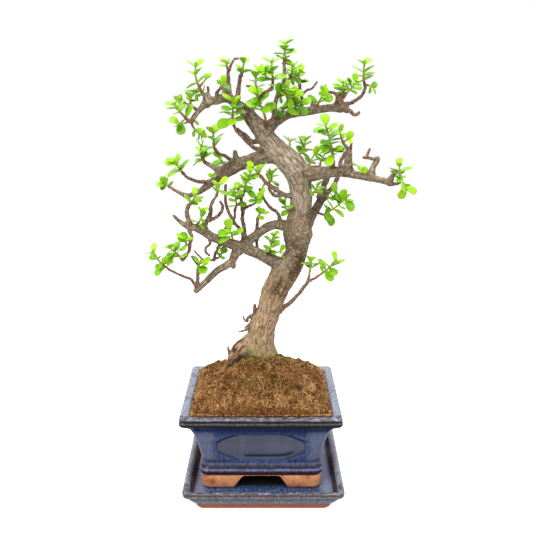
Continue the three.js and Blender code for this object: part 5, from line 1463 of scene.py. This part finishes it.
glazeColours = {
    "milky": (94, 104, 128), "panel": (80, 84, 100), "thin": (60, 84, 142), "rim": (130, 138, 152),
    "rimDark": (82, 87, 100), "rimFront": (60, 70, 90), "brown": (98, 62, 44), "rust": (56, 40, 32),
    "paleEdge": (172, 178, 188), "aside": (134, 140, 160), "pool": (8, 12, 30), "speck": (20, 18, 26),
    "damp": (10, 8, 8),
}

# the glaze breaks to brown and black on edges and is blue between them; the ramp also paints shade under the
# bead and under the rim's roll, a highlight on the bead and a grey reflection on the roll: height in mm and
# colour
potBands = [
    (31, (48, 34, 32)), (34.5, (44, 32, 34)), (36.4, (66, 42, 46)), (37.4, (76, 66, 92)),
    (38.3, (100, 114, 160)), (39.3, (70, 80, 114)), (40.1, (26, 22, 34)), (42, (58, 54, 66)),
    (44.6, (80, 86, 118)), (47.5, (46, 54, 86)), (52, (62, 68, 92)), (78, (64, 74, 108)),
    (84, (44, 60, 100)), (88, (24, 40, 76)), (94, (18, 34, 68)), (97.4, (8, 14, 34)),
    (99.4, (4, 4, 12)), (100.8, (8, 8, 16)), (101.6, (72, 72, 76)), (102.7, (64, 62, 60)),
    (103.3, (22, 16, 14)), (103.8, (6, 2, 1)), (104.8, (30, 15, 12)), (105.6, (58, 44, 42)),
]
saucerBands = [
    (5, (142, 134, 152)), (11, (120, 124, 144)), (15, (106, 110, 126)), (18.4, (84, 78, 86)),
    (19.8, (118, 106, 104)), (21.2, (104, 110, 118)), (22.6, (88, 76, 76)), (23.6, (112, 78, 62)),
    (24.8, (98, 70, 60)), (25.8, (74, 72, 80)),
]

# mottling that hangs down the wall, fine specks, and clouds
glazeMottle = noiseGroup("glazeMottle", (
    ("Mottle", True, 420.0, 4.0, 0.62), ("Specks", False, 1300.0, 2.0, 0.5),
    ("Clouds", True, 60.0, 3.0, 0.5, 0.3)))


def bandedColour(place, clouds, bands):
    # the colour of the height, whose lines wander a little along the piece
    low, high = bands[0][0], bands[-1][0]
    height = plus(partOf(place, "Z"), times(minus(clouds, 0.5), 0.0016))
    height = mathOf("DIVIDE", minus(height, low * millimetre), (high - low) * millimetre)
    return ramp(height, *[((z - low) / (high - low), shade) for z, shade in bands])


def glazeMaterial(name, bands, floorColours):
    startMaterial(name, glazeColours, SpecularIORLevel=0.24)
    place = placeHere()
    mottle, specks, clouds = noisesFrom(glazeMottle, place, 0.5)
    panel, flank, inner, shaded = (attribute(key) for key in ("panel", "flank", "inner", "shaded"))
    colour = layered(bandedColour(place, clouds, bands), (
        # painted grey reflection beside the panels
        (times(flank, 0.8), "milky"),
        (times(attribute("glow"), 0.8), "thin"),
    ))
    # dappled where neither the panel nor the flank is smooth
    calm = minus(1.0, times(mathOf("MAXIMUM", panel, times(flank, 0.7)), 0.9))
    dapple = rescale(mottle, 0.36, 0.66, 0.62, 1.5)
    dappled = put("VectorMath", {"operation": "SCALE"}, i0=colour, Scale=dapple).outputs[0]
    panelColour = put("VectorMath", {"operation": "SCALE"}, i0=linearColour("panel")[:3],
                      Scale=rescale(clouds, 0.35, 0.65, 0.9, 1.12)).outputs[0]
    grainy = times(plus(specks, mottle), 0.5)
    dished = ramp(grainy, *zip((0.42, 0.5, 0.59), floorColours))
    # below the rim inside, the glaze breaks to rust and black
    broken = plus(attribute("innerWall"), times(minus(clouds, 0.5), 1.6))
    rusty = ramp(mottle, (0.42, "speck"), (0.54, "rust"), (0.72, "brown"))
    # on the rim's front only: dark rust streaks of the glaze, and pale streaks that are painted highlights
    streaksAndGlints = ramp(noise(vectorTimes(place, (0.2, 1, 1)), 800.0, 3.0),
                    (0.42, "rust"), (0.52, "rimFront"), (0.66, "paleEdge"))
    rim = layered(ramp(grainy, (0.4, "rimDark"), (0.5, "rim"), (0.6, "paleEdge")), (
        (rescale(clouds, 0.56, 0.66, 0, 0.5), "rimDark"),
        (rescale(mottle, 0.56, 0.66, 0, 0.75), "brown"),
        (rescale(partOf(place, "Y"), -0.045, -0.050, 0, 0.85), streaksAndGlints),
    ))
    colour = layered(colour, (
        (times(calm, 0.85), dappled),
        (times(panel, 0.95), panelColour),
        (inner, dished),
        # painted reflection on the saucer's inner sides
        (times(times(inner, flank), 0.6), "aside"),
        (rescale(broken, 0.45, 0.75, 0, 0.9), rusty),
        (attribute("rimTop"), rim),
        (times(times(attribute("corner"), 0.55), rescale(clouds, 0.38, 0.55)), "brown"),
        (times(attribute("pool"), 0.9), "pool"),
        (times(rescale(specks, 0.62, 0.72, 0, 0.45), calm), "speck"),
        # painted shade on the saucer's floor under the pot
        (shaded, "damp"),
    ))
    roughness = plus(plus(0.1, times(clouds, 0.16)), times(shaded, 0.6))
    return finishMaterial(BaseColor=colour, Roughness=roughness, Normal=bump(mottle, 0.12, 0.0004))


clayColours = {
    "light": (214, 152, 108), "clay": (192, 126, 84), "red": (166, 80, 50), "dark": (136, 78, 52),
    "soot": (60, 36, 26),
}


def clayMaterial(name, redness, shadeBelow):
    # bare fired clay: fine grit, cloudy colour, painted contact shade along its foot, and painted shade on
    # faces marked shaded
    startMaterial(name, clayColours, Roughness=0.78)
    place = placeHere()
    grit = noise(place, 1500.0, 2.0, 0.5)
    colour = layered(ramp(noise(place, 90.0, 4.0, 0.6), (0.3, "dark"), (0.46, "clay"), (0.7, "light")), (
        (redness, "red"),
        (rescale(grit, 0.6, 0.75, 0, 0.4), "dark"),
        # painted shade: darker along the bottom where the piece stands, and on the faces marked shaded
        (rescale(partOf(place, "Z"), shadeBelow, shadeBelow - 0.0016, 0, 0.7), "soot"),
        (attribute("shaded"), "soot"),
    ))
    return finishMaterial(BaseColor=colour, Normal=bump(grit, 0.35, 0.0003))


innerGlaze = ((60, 62, 78), (96, 104, 124), (132, 142, 160))
dishGlaze = ((26, 38, 72), (56, 72, 116), (112, 130, 170))
potPiece = addPiece("pot_body", joinedMesh("pot_body", [potShape()], potSettings["shift"]),
                    glazeMaterial("potGlaze", potBands, innerGlaze), "pot")
potX, potY = potSettings["shift"]
drilled(potPiece, [(potX - potSettings["drainX"], potY), (potX + potSettings["drainX"], potY)],
        potSettings["drainRadius"], 20, 40)
print("pot:", len(potPiece.data.polygons), "faces")


footSettings = {
    "bottom": 15.5, "top": 31.4,
    "columns": (170, 120, 10),
    "arches": ((1, 59, 38), (0, 38, 24)),    # front and sides: widths at the bottom and at the top
    # share of the height, half width, corner radius, round the closed section from its inner foot
    "section": [[0.3, 52.4, 6], [0.03, 52.8, 6], [0.0, 53.6, 6], [0.0, 57, 6.5], [0.0, 60.6, 7],
                [0.02, 61.7, 7.4], [0.08, 62.7, 7.8], [0.16, 63.3, 8], [0.3, 63.5, 8], [0.6, 63.5, 8],
                [0.92, 63.4, 8], [1.0, 62.4, 8], [1.0, 57, 7], [1.0, 52.2, 6], [0.7, 52.2, 6]],
    "shaded": [1, 1, 0.8, 0.2, 0, 0, 0, 0, 0, 0, 0, 0, 0, 1, 1],   # painted shade on the foot ring's inner faces, for each row of the section
    "outerRow": 8,
}


def archHeight(across, bottomWidth, topWidth):
    # the height of the arch's edge at a distance from its middle, straight and sloping
    low, high = footSettings["bottom"], footSettings["top"] - 0.4
    places = [0, topWidth / 2 - 1, topWidth / 2 + 1, bottomWidth / 2 - 1, bottomWidth / 2 + 0.8]
    return np.interp(np.abs(across), places, [high, high - 0.2, high - 1.7, low + 1.3, low])


def feetMesh():
    settings = footSettings
    section = np.array(settings["section"], float)
    columns = aroundRectangle(*settings["columns"])
    rings = profileRings(section, columns, potSettings["sideStep"])
    low = np.full(len(columns[0]), settings["bottom"], float)
    for axis, bottomWidth, topWidth in settings["arches"]:
        side = np.abs(columns[1])[:, axis] > 0.999
        low[side] = archHeight(rings[settings["outerRow"], side, 1 - axis], bottomWidth, topWidth)
    rings[..., 2] = low[None] + (settings["top"] - low)[None] * section[:, 0][:, None]
    rows, count = rings.shape[:2]
    # the section is closed on itself, so its last row joins its first
    quads = gridQuads(rows + 1, count) % (rows * count)
    rings[..., :2] += potSettings["shift"]
    mesh = meshFrom("pot_feet", rings.reshape(-1, 3), quads)
    mesh.set_sharp_from_angle(angle=math.radians(50))
    setAttributes(mesh, {"shaded": np.repeat(settings["shaded"], count)})
    return mesh


feetPiece = addPiece("pot_feet", feetMesh(), clayMaterial("footClay", 0.0, 0.0172), "pot")


saucerSettings = {
    "sideStep": 18,
    "columns": (130, 96, 9),
    "base": [[0.0, 50, 6], [0.0, 69.8, 9], [0.5, 70.8, 9], [1.2, 71.4, 9.5], [4.6, 71.8, 9.5],
             [6.7, 72.2, 9.5]],
    "outside": [[6.5, 60, 9], [6.5, 72.4, 9.5], [7.2, 74.0, 9.5], [10, 76.0, 8.5], [14, 78.4, 7.5],
                [16.6, 79.8, 7], [18.4, 80.8, 6.3], [19.6, 82.3, 5.8], [20.6, 82.9, 5.4], [21.9, 82.9, 5.2],
                [22.5, 82.2, 5.2], [23.1, 82.3, 5], [23.8, 83.3, 5], [25.2, 83.4, 5], [26.1, 82.4, 4.6]],
    "inside": [[26.2, 80.6, 4.4], [25.6, 79.0, 4.2], [23.6, 77.2, 4.4], [18.4, 73.4, 5.6], [16.0, 72.0, 6.2],
               [15.2, 70.2, 6.2], [15.2, 60, 6]],
    "rimHeights": ((25.0, 25.8), (23.6, 24.6)),   # where the rim's glaze begins outside and inside
    "innerWall": (16.6, 18, 22.8, 24.2),
    "floorShares": (0.95, 0.9, 0.85, 0.8, 0.75, 0.7, 0.65, 0.6, 0.5, 0.34, 0.16),   # rings of its floor
}


def saucerShape():
    # the glazed dish; its bare base is a piece of its own below it
    settings = saucerSettings
    outside = densified(settings["outside"], 0.9, 0.7)
    columns = aroundRectangle(*settings["columns"])
    rings = profileRings(np.concatenate([outside, densified(settings["inside"], 1.1, 1.0)]), columns,
                         settings["sideStep"])
    rings = np.concatenate([rings] + [rings[-1:] * (share, share, 1) for share in settings["floorShares"]])
    rowNumber = np.arange(len(rings))
    inner = rowNumber >= len(outside)
    heights = rings[:, 0, 2]
    count = rings.shape[1]
    cornerEdge = np.clip((1 - np.abs(columns[1]).max(1)) / 0.2, 0, 1)
    outerRim, innerRim = (smoothStep(*ends, heights) for ends in settings["rimHeights"])
    # dark and damp under the pot, where soil washes out of the drain holes
    # painted shade: the dish's floor under the pot is made near black, where the pot and its feet keep the
    # light out
    fromPotX, fromPotY = np.abs(np.moveaxis(rings[..., :2] - potSettings["shift"], -1, 0))
    under = smoothStep(48, 36, fromPotY) * smoothStep(66, 54, fromPotX) * inner[:, None]
    return (*closedPot(rings), {
        "rimTop": spreadRows(np.where(inner, innerRim, outerRim), count),
        "inner": spreadRows((rowNumber >= len(outside) + 2) * 1.0, count),
        "innerWall": spreadRows(inner * between(heights, *settings["innerWall"]), count),
        # painted reflection: the saucer's inner sides are made pale, as if mirroring the bright surround
        "flank": withPoles(smoothStep(56, 66, np.abs(rings[..., 0])) * inner[:, None]),
        "shaded": withPoles(under, 0, 1),
        "corner": withPoles(np.tile(cornerEdge * 0.5, len(rings))),
        **{key: np.zeros(rings[..., 0].size + 2) for key in ("glow", "pool", "panel")},
    })


saucerPiece = addPiece("saucer_dish", joinedMesh("saucer_dish", [saucerShape()]),
                       glazeMaterial("saucerGlaze", saucerBands, dishGlaze), "saucer")
baseRings = profileRings(densified(saucerSettings["base"], 0.8, 0.5),
                         aroundRectangle(*saucerSettings["columns"]), saucerSettings["sideStep"])
basePiece = addPiece("saucer_base", meshFrom("saucer_base", *closedPot(baseRings)),
                     clayMaterial("baseClay", 0.82, 0.0012), "saucer")
lowerPieces = (feetPiece, saucerPiece, basePiece)
print("feet and saucer:", sum(len(piece.data.polygons) for piece in lowerPieces), "faces")


# Soil: a mound of coir with fibres, crumbs and moss on it

soilSettings = {
    "halfX": 71.0, "halfY": 53.0, "rimZ": 105.0, "crownRise": 24.0,
    "corner": 8,             # how square the mound is, seen from above
    "slope": 0.45,           # 1 is a round dome, less is fuller
    "heap": (20, 40, 0.5, -4),   # height, reach and middle of the heap before the trunk's foot
    "relief": 1.3,
    "columns": (110, 84, 6),
    "rows": 84,
    "body": [[36.3, 51.8, 6], [40.3, 54.6, 6], [72, 59.9, 6], [92, 64.9, 6], [103.2, 71.2, 6]],
    "roughness": 0.9,        # mm
    "shortFibres": 12500,
    "shortLength": (3.4, 0.45),   # the middle in mm, and the spread of its logarithm
    "shortRadii": (0.12, 0.36),
    "firstMesh": 9200,       # of them in the first mesh
    # long fibres, and loops that stand clear of the mound: number, distance kept from the wall,
    # lengths, lift as a share of the length, curl, rings and radii
    "longOnes": ((300, 6, (9, 24), 0.06, 1.3, 9, (0.16, 0.3)), (26, 4, (9, 17), 0.4, 2.4, 12, (0.12, 0.2))),
    "fringe": 1300,          # threads that lie over the pot's rim
    "fringeRadii": (0.2, 0.45),
    "wallEdge": (0.8, 0.96),   # shares of the half widths that the fibres are painted lighter between, as painted light on the mound's steep edge
    "crumbs": 2800,
    "mossTufts": 900,
    "trunkFoot": (0.5, 10.0),   # from the pot's centre
    "seed": 12,
}
soilDraws = np.random.default_rng(soilSettings["seed"])


def soilHeight(x, y):
    # a dome that meets the pot's wall steeply, with low lumps; x and y are from the pot's centre
    settings = soilSettings
    power = settings["corner"]
    shareX, shareY = np.abs(x) / settings["halfX"], np.abs(y) / settings["halfY"]
    reach = (shareX ** power + shareY ** power) ** (1 / power)
    dome = (1 - np.minimum(1, reach) ** 2) ** settings["slope"]
    lumps = np.sin(x * 0.31 + 1) * np.cos(y * 0.37) + 0.7 * np.sin(x * 0.73 + y * 0.61)
    rise, wide, heapX, heapY = settings["heap"]
    heap = rise * np.exp(-((x - heapX) ** 2 + (y - heapY) ** 2) / wide ** 2)
    relief = settings["relief"] * lumps * np.minimum(1, 3 * dome)
    return settings["rimZ"] + settings["crownRise"] * dome + heap + relief


def flatNoise(x, y, scale, seed):
    return layeredNoise(np.stack([x, y, 0 * x], 1) * scale, seed, 2)


def soilRoughness(x, y):
    # clods and grains on the mound, in millimetres
    return soilSettings["roughness"] * (0.9 * flatNoise(x, y, 0.22, 61) + 0.8 * flatNoise(x, y, 0.7, 67))


def soilGround(x, y):
    return soilHeight(x, y) + soilRoughness(x, y)


def soilMound():
    # rings that shrink to the middle of the pot's inner outline, lifted to the mound's height
    settings = soilSettings
    columns = aroundRectangle(*settings["columns"])
    lower = profileRings(np.array(settings["body"]), columns, potSettings["sideStep"])
    outline = lower[-1]
    shares = np.linspace(0.995, 0, settings["rows"], endpoint=False) ** 0.8
    upper = outline[None] * shares[:, None, None]
    x, y = upper[..., 0].ravel(), upper[..., 1].ravel()
    rough = soilRoughness(x, y) * smoothStep(1.0, 0.93, np.repeat(shares, len(outline)))
    upper[..., 2] = (soilHeight(x, y) + rough).reshape(upper.shape[:2])
    points, quads, triangles = closedPot(np.concatenate([lower, upper]))
    points[-1, 2] = soilHeight(0.0, 0.0)
    return joinedMesh("soil_mound", [(points, quads, triangles, {})], potSettings["shift"])


def soilSlope(x, y):
    # how fast the mound rises along x and along y
    return soilHeight(x + 0.5, y) - soilHeight(x - 0.5, y), soilHeight(x, y + 0.5) - soilHeight(x, y - 0.5)


def onMound(count, margin=1.0):
    # random places on the mound, kept inside the pot's wall, as dense on its slopes as on its top
    halfX, halfY = soilSettings["halfX"] - margin, soilSettings["halfY"] - margin
    x = soilDraws.uniform(-halfX, halfX, count * 5)
    y = soilDraws.uniform(-halfY, halfY, count * 5)
    slopeX, slopeY = soilSlope(x, y)
    keep = (np.abs(x) / halfX) ** 10 + (np.abs(y) / halfY) ** 10 < 1
    keep &= soilDraws.uniform(size=len(x)) * 2.6 < np.sqrt(1 + slopeX ** 2 + slopeY ** 2)
    return x[keep][:count], y[keep][:count]


def fibrePoints(x, y, length, lift, curl, rings):
    # curved threads that follow the mound: the heading, taken in the slope's own plane, turns evenly,
    # and the ends stand up by lift
    heading = soilDraws.uniform(0, 2 * np.pi, len(x))
    turn = soilDraws.normal(0, curl, len(x))
    steps = np.linspace(-0.5, 0.5, rings)
    angle = heading[:, None] + turn[:, None] * steps[None]
    stepLength = length[:, None] / (rings - 1)
    uphill = np.stack(soilSlope(x, y), 1)
    steepness = np.linalg.norm(uphill, axis=1)[:, None]
    uphill = uphill / np.maximum(steepness, 1e-6)
    climb = np.cumsum(np.cos(angle) * stepLength, 1) / np.sqrt(1 + steepness ** 2)
    level = np.cumsum(np.sin(angle) * stepLength, 1)
    dx = climb * uphill[:, :1] - level * uphill[:, 1:]
    dy = climb * uphill[:, 1:] + level * uphill[:, :1]
    px, py = (np.clip(start[:, None] + away - away.mean(1, keepdims=True), 0.6 - half, half - 0.6)
              for start, away, half in ((x, dx, soilSettings["halfX"]), (y, dy, soilSettings["halfY"])))
    ground = soilGround(px.ravel(), py.ravel()).reshape(px.shape)
    base = soilDraws.uniform(-0.05, 0.75, len(x))[:, None]
    rise = lift[:, None] * (2 * np.abs(steps[None])) ** 2 * (soilDraws.uniform(size=(len(x), 1)) * 2 - 0.6)
    arch = lift[:, None] * 0.5 * (1 - (2 * steps[None]) ** 2)
    return np.stack([px, py, ground + base + np.maximum(rise + arch, -0.3)], -1)


def wallFringe():
    # short threads from the soil's edge on to the rim, straight but for a small arch
    count = soilSettings["fringe"]
    halfX, halfY = soilSettings["halfX"] - 0.4, soilSettings["halfY"] - 0.4
    x, y = soilDraws.uniform(-halfX, halfX, count), soilDraws.uniform(-halfY, halfY, count)
    onSide = soilDraws.uniform(size=count) < halfY / (halfX + halfY)
    x, y = np.where(onSide, np.sign(x) * halfX, x), np.where(onSide, y, np.sign(y) * halfY)
    out = np.stack([np.where(onSide, np.sign(x), 0), np.where(onSide, 0, np.sign(y))], 1)
    start = np.stack([x, y], 1) - out * soilDraws.uniform(1.0, 3.5, (count, 1))
    reach = soilDraws.uniform(0, 1, (count, 1)) ** 1.6 * 3.2
    end = np.stack([x, y], 1) + out * reach + out[:, ::-1] * soilDraws.uniform(-3, 3, (count, 1))
    t = np.linspace(0, 1, 4)[None, :, None]
    flat = start[:, None] * (1 - t) + end[:, None] * t
    t = t[..., 0]
    z = soilSettings["rimZ"] + 0.6 + 0.9 * t + soilDraws.uniform(0, 0.9, (count, 1)) * np.sin(np.pi * t)
    return np.concatenate([flat, z[..., None]], -1), x, y


def manyThreads(paths, radii):
    # three-sided tubes along many paths at once: paths is threads by rings by 3
    threads, rings = paths.shape[:2]
    along = unit(np.gradient(paths, axis=1))
    across = unit(np.cross(along, (0.13, 0.21, 0.97)))
    other = np.cross(along, across)
    angles = anglesRound(3)
    taper = np.sin(np.pi * np.linspace(0.08, 0.92, rings)) ** 0.45
    size = radii[:, None] * taper[None]
    circle = (np.cos(angles)[None, None, :, None] * across[:, :, None]
              + np.sin(angles)[None, None, :, None] * other[:, :, None])
    points = (paths[:, :, None] + circle * size[..., None, None]).reshape(-1, 3)
    block = rings * 3
    caps = np.array([[0, 2, 1], [block - 3, block - 2, block - 1]])
    quads, triangles = (repeatedFaces(faces, threads, block) for faces in (gridQuads(rings, 3), caps))
    return points, quads, triangles, block


def repeatedFaces(faces, count, block):
    # the same faces for each of many blocks of points
    return (faces[None] + np.arange(count)[:, None, None] * block).reshape(-1, faces.shape[1])


def greenShare(x, y):
    # where moss and algae grow: round the trunk's foot and in patches at the front of the mound
    def patch(middleX, middleY, wideX, wideY):
        return np.exp(-(((x - middleX) / wideX) ** 2 + ((y - middleY) / wideY) ** 2))
    front = patch(18, -33, 16, 9) + patch(-16, -35, 14, 7)
    spread = 0.75 + 0.9 * flatNoise(x, y, 0.09, 71)
    nearTrunk = patch(*soilSettings["trunkFoot"], 26, 20)
    return np.clip((0.75 * nearTrunk + 0.5 * front) * spread + patch(-12, -4, 7, 6), 0, 1)


def coirFibres():
    # two meshes: most of the short fibres, and the rest with the long ones, the loops and the fringe
    settings = soilSettings
    x, y = onMound(settings["shortFibres"])
    middle, spread = settings["shortLength"]
    length = soilDraws.lognormal(math.log(middle), spread, len(x))
    short = fibrePoints(x, y, length, 0.05 * length, 0.9, 4)
    radius = soilDraws.uniform(*settings["shortRadii"], len(x))
    cut = settings["firstMesh"]
    parts = [[table[part] for table in (short, radius, x, y, length)]
             for part in (slice(cut), slice(cut, None))]
    for number, margin, lengths, lift, curl, rings, radii in settings["longOnes"]:
        x, y = onMound(number, margin)
        length = soilDraws.uniform(*lengths, len(x))
        paths = fibrePoints(x, y, length, lift * length, curl, rings)
        parts.append((paths, soilDraws.uniform(*radii, len(x)), x, y, length))
    fringe, x, y = wallFringe()
    parts.append((fringe, soilDraws.uniform(*settings["fringeRadii"], len(x)), x, y, np.full(len(x), 4)))
    shapes = []
    for paths, radii, x, y, lengths in parts:
        points, quads, triangles, block = manyThreads(paths, radii)
        threads = len(lengths)
        # long fibres are paler, and near the pot's wall the fibres are painted lighter, as painted light on
        # the mound's steep edge
        edge = np.maximum(np.abs(x) / settings["halfX"], np.abs(y) / settings["halfY"])
        lighter = 0.25 * (lengths > 9) + 0.24 * smoothStep(*settings["wallEdge"], edge)
        clump = 0.4 * flatNoise(x, y, 0.22, 83)
        tone = np.clip(soilDraws.beta(0.9, 1.15, threads) + lighter + clump, 0, 1)
        green = greenShare(x, y) * soilDraws.uniform(0, 1, threads) ** 0.7 * (lengths < 9)
        values = {"tone": np.repeat(tone, block), "green": np.repeat(green, block)}
        shapes.append((points, quads, triangles, values))
    return [joinedMesh(name, chosen, potSettings["shift"])
            for name, chosen in (("soil_fibres", shapes[:1]), ("soil_threads", shapes[1:]))]


def soilCrumbs():
    # uneven eight-sided grains, half sunk
    x, y = onMound(soilSettings["crumbs"], 2)
    count = len(x)
    size = soilDraws.lognormal(math.log(0.62), 0.4, count)
    corners = np.array([[1, 0, 0], [-1, 0, 0], [0, 1, 0], [0, -1, 0], [0, 0, 1], [0, 0, -1]], float)
    shape = corners[None] * soilDraws.uniform(0.6, 1.3, (count, 6, 1)) * size[:, None, None]
    turn = soilDraws.uniform(0, 2 * np.pi, count)
    cosTurn, sinTurn = np.cos(turn)[:, None], np.sin(turn)[:, None]
    spunX = shape[..., 0] * cosTurn - shape[..., 1] * sinTurn
    spunY = shape[..., 0] * sinTurn + shape[..., 1] * cosTurn
    ground = soilGround(x, y) + 0.25 * size
    points = np.stack([spunX + x[:, None], spunY + y[:, None], shape[..., 2] + ground[:, None]], -1)
    points[..., :2] += potSettings["shift"]
    faces = np.array([[0, 2, 4], [2, 1, 4], [1, 3, 4], [3, 0, 4], [2, 0, 5], [1, 2, 5], [3, 1, 5], [0, 3, 5]])
    mesh = meshFrom("soil_crumbs", points.reshape(-1, 3), None, repeatedFaces(faces, count, 6), smooth=False)
    setAttributes(mesh, {"tone": np.repeat(soilDraws.beta(1.3, 2.2, count), 6),
                         "green": np.repeat(greenShare(x, y) * soilDraws.uniform(0, 1, count), 6)})
    return mesh


def mossTufts():
    # short green threads standing up, thick round the trunk's foot
    count = soilSettings["mossTufts"]
    x, y = onMound(count * 14, 3)
    keep = soilDraws.uniform(size=len(x)) < greenShare(x, y) ** 1.5
    x, y = x[keep][:count], y[keep][:count]
    length = soilDraws.uniform(0.9, 2.6, len(x))[:, None]
    lean = soilDraws.normal(0, 0.5, (len(x), 2))
    steps = np.linspace(0, 1, 3)
    px, py = (start[:, None] + aside[:, None] * length * steps ** 1.5 for start, aside in zip((x, y), lean.T))
    paths = np.stack([px, py, soilGround(x, y)[:, None] + length * steps * 0.85], -1)
    points, quads, triangles, block = manyThreads(paths, soilDraws.uniform(0.16, 0.3, len(x)))
    values = {"tone": np.repeat(soilDraws.uniform(0, 1, len(x)), block), "green": np.ones(len(points))}
    return joinedMesh("soil_moss", [(points, quads, triangles, values)], potSettings["shift"])


soilColours = {
    "dark": (44, 26, 12), "brown": (130, 84, 42), "tan": (188, 132, 74), "straw": (222, 184, 124),
    "mossDark": (74, 74, 18), "moss": (140, 150, 44), "red": (142, 84, 46),
}


def soilMaterial(name, isFibre):
    # the ground takes its tone from the grain, and each fibre from its own attribute
    startMaterial(name, soilColours, Roughness=0.95, SpecularIORLevel=0.25)
    place = placeHere()
    grain = noise(place, 700.0, 4.0, 0.65)
    if isFibre:
        tone = attribute("tone")
        colour = ramp(tone, (0.1, "dark"), (0.42, "brown"), (0.72, "tan"), (0.98, "straw"))
    else:
        colour = ramp(grain, (0.4, "dark"), (0.56, "brown"), (0.74, "tan"))
    colour = mixed(rescale(noise(place, 42.0, 3.0), 0.52, 0.7, 0, 0.22), colour, "red")
    if isFibre:
        colour = mixed(attribute("green"), colour, ramp(tone, (0.0, "mossDark"), (0.8, "moss")))
    return finishMaterial(BaseColor=colour, Normal=bump(grain, 0.9, 0.0012))


fibreMaterial = soilMaterial("coir", True)
soilPieces = [addPiece("soil_mound", soilMound(), soilMaterial("soilGround", False), "soil")]
for mesh in (*coirFibres(), soilCrumbs(), mossTufts()):
    soilPieces.append(addPiece(mesh.name, mesh, fibreMaterial, "soil"))
print("soil:", [len(piece.data.polygons) for piece in soilPieces], "faces")


# The two drain screens keep their own shape and get a dull plastic

startMaterial("screenPlastic", {}, Roughness=0.55)
screenNoise = noise(placeHere(), 900.0, 3.0)
screenMaterial = finishMaterial(BaseColor=ramp(screenNoise, (0.3, (24, 24, 26)), (0.7, (58, 58, 60))),
                                Normal=bump(screenNoise, 0.2, 0.0002))
for name in ("drain_screen_left", "drain_screen_right"):
    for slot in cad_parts[name].material_slots:
        slot.material = screenMaterial


# Stage: a pale floor, soft boxes and an even white surround

stageSettings = {
    "floorSize": 4.0,      # metres
    "floorColour": (0.45, 0.45, 0.45, 1),
    "floorGlow": 0.72,     # seen by the camera alone, so the floor stays white
    "surround": ((0.0, 0.3), (0.45, 0.42), (0.62, 0.75), (1.0, 1.25)),   # strength from below to overhead
    "lights": (
        # name, place, aim, size, power in watts
        ("key", (-0.8, -1.1, 1.3), (0, 0, 0.22), (0.7, 0.7), 20),
        ("fill", (1.2, -0.7, 0.7), (0, 0, 0.2), (0.5, 0.9), 5),
        ("top", (0.1, 0.2, 1.5), (0, 0, 0.2), (1.0, 1.0), 14),
    ),
}


def seenByCamera():
    return put("LightPath").outputs["Is Camera Ray"]


def makeStage():
    half = stageSettings["floorSize"] / 2 / millimetre
    corners = half * np.array([[-1, -1, 0], [1, -1, 0], [1, 1, 0], [-1, 1, 0]])
    floor = newObject("floor", meshFrom("floor", corners, np.array([[0, 1, 2, 3]])))
    startMaterial("paleFloor", {}, Roughness=0.9, BaseColor=stageSettings["floorColour"],
                  SpecularIORLevel=0.1, EmissionColor=(1, 1, 1, 1))
    glow = times(seenByCamera(), stageSettings["floorGlow"])
    floor.data.materials.append(finishMaterial(EmissionStrength=glow))
    for name, place, aim, size, power in stageSettings["lights"]:
        data = bpy.data.lights.new(name, "AREA")
        data.shape = "RECTANGLE"
        data.size, data.size_y = size
        data.energy = power
        light = newObject(name, data)
        light.location = place
        light.rotation_euler = (Vector(aim) - Vector(place)).to_track_quat("-Z", "Y").to_euler()
    world = bpy.data.worlds.new("surround")
    world.use_nodes = True
    # white to the camera, and for light brighter overhead than at the horizon
    work["tree"] = world.node_tree
    height = times(plus(partOf(put("TexCoord").outputs["Generated"], "Z"), 1.0), 0.5)
    sky = ramp(height, *[(place, (level, level, level, 1)) for place, level in stageSettings["surround"]])
    feed(world.node_tree.nodes["Background"].inputs["Color"], mixed(seenByCamera(), sky, (1, 1, 1, 1)))
    bpy.context.scene.world = world


makeStage()
bpy.context.scene.view_settings.view_transform = "Standard"
print("stage set")
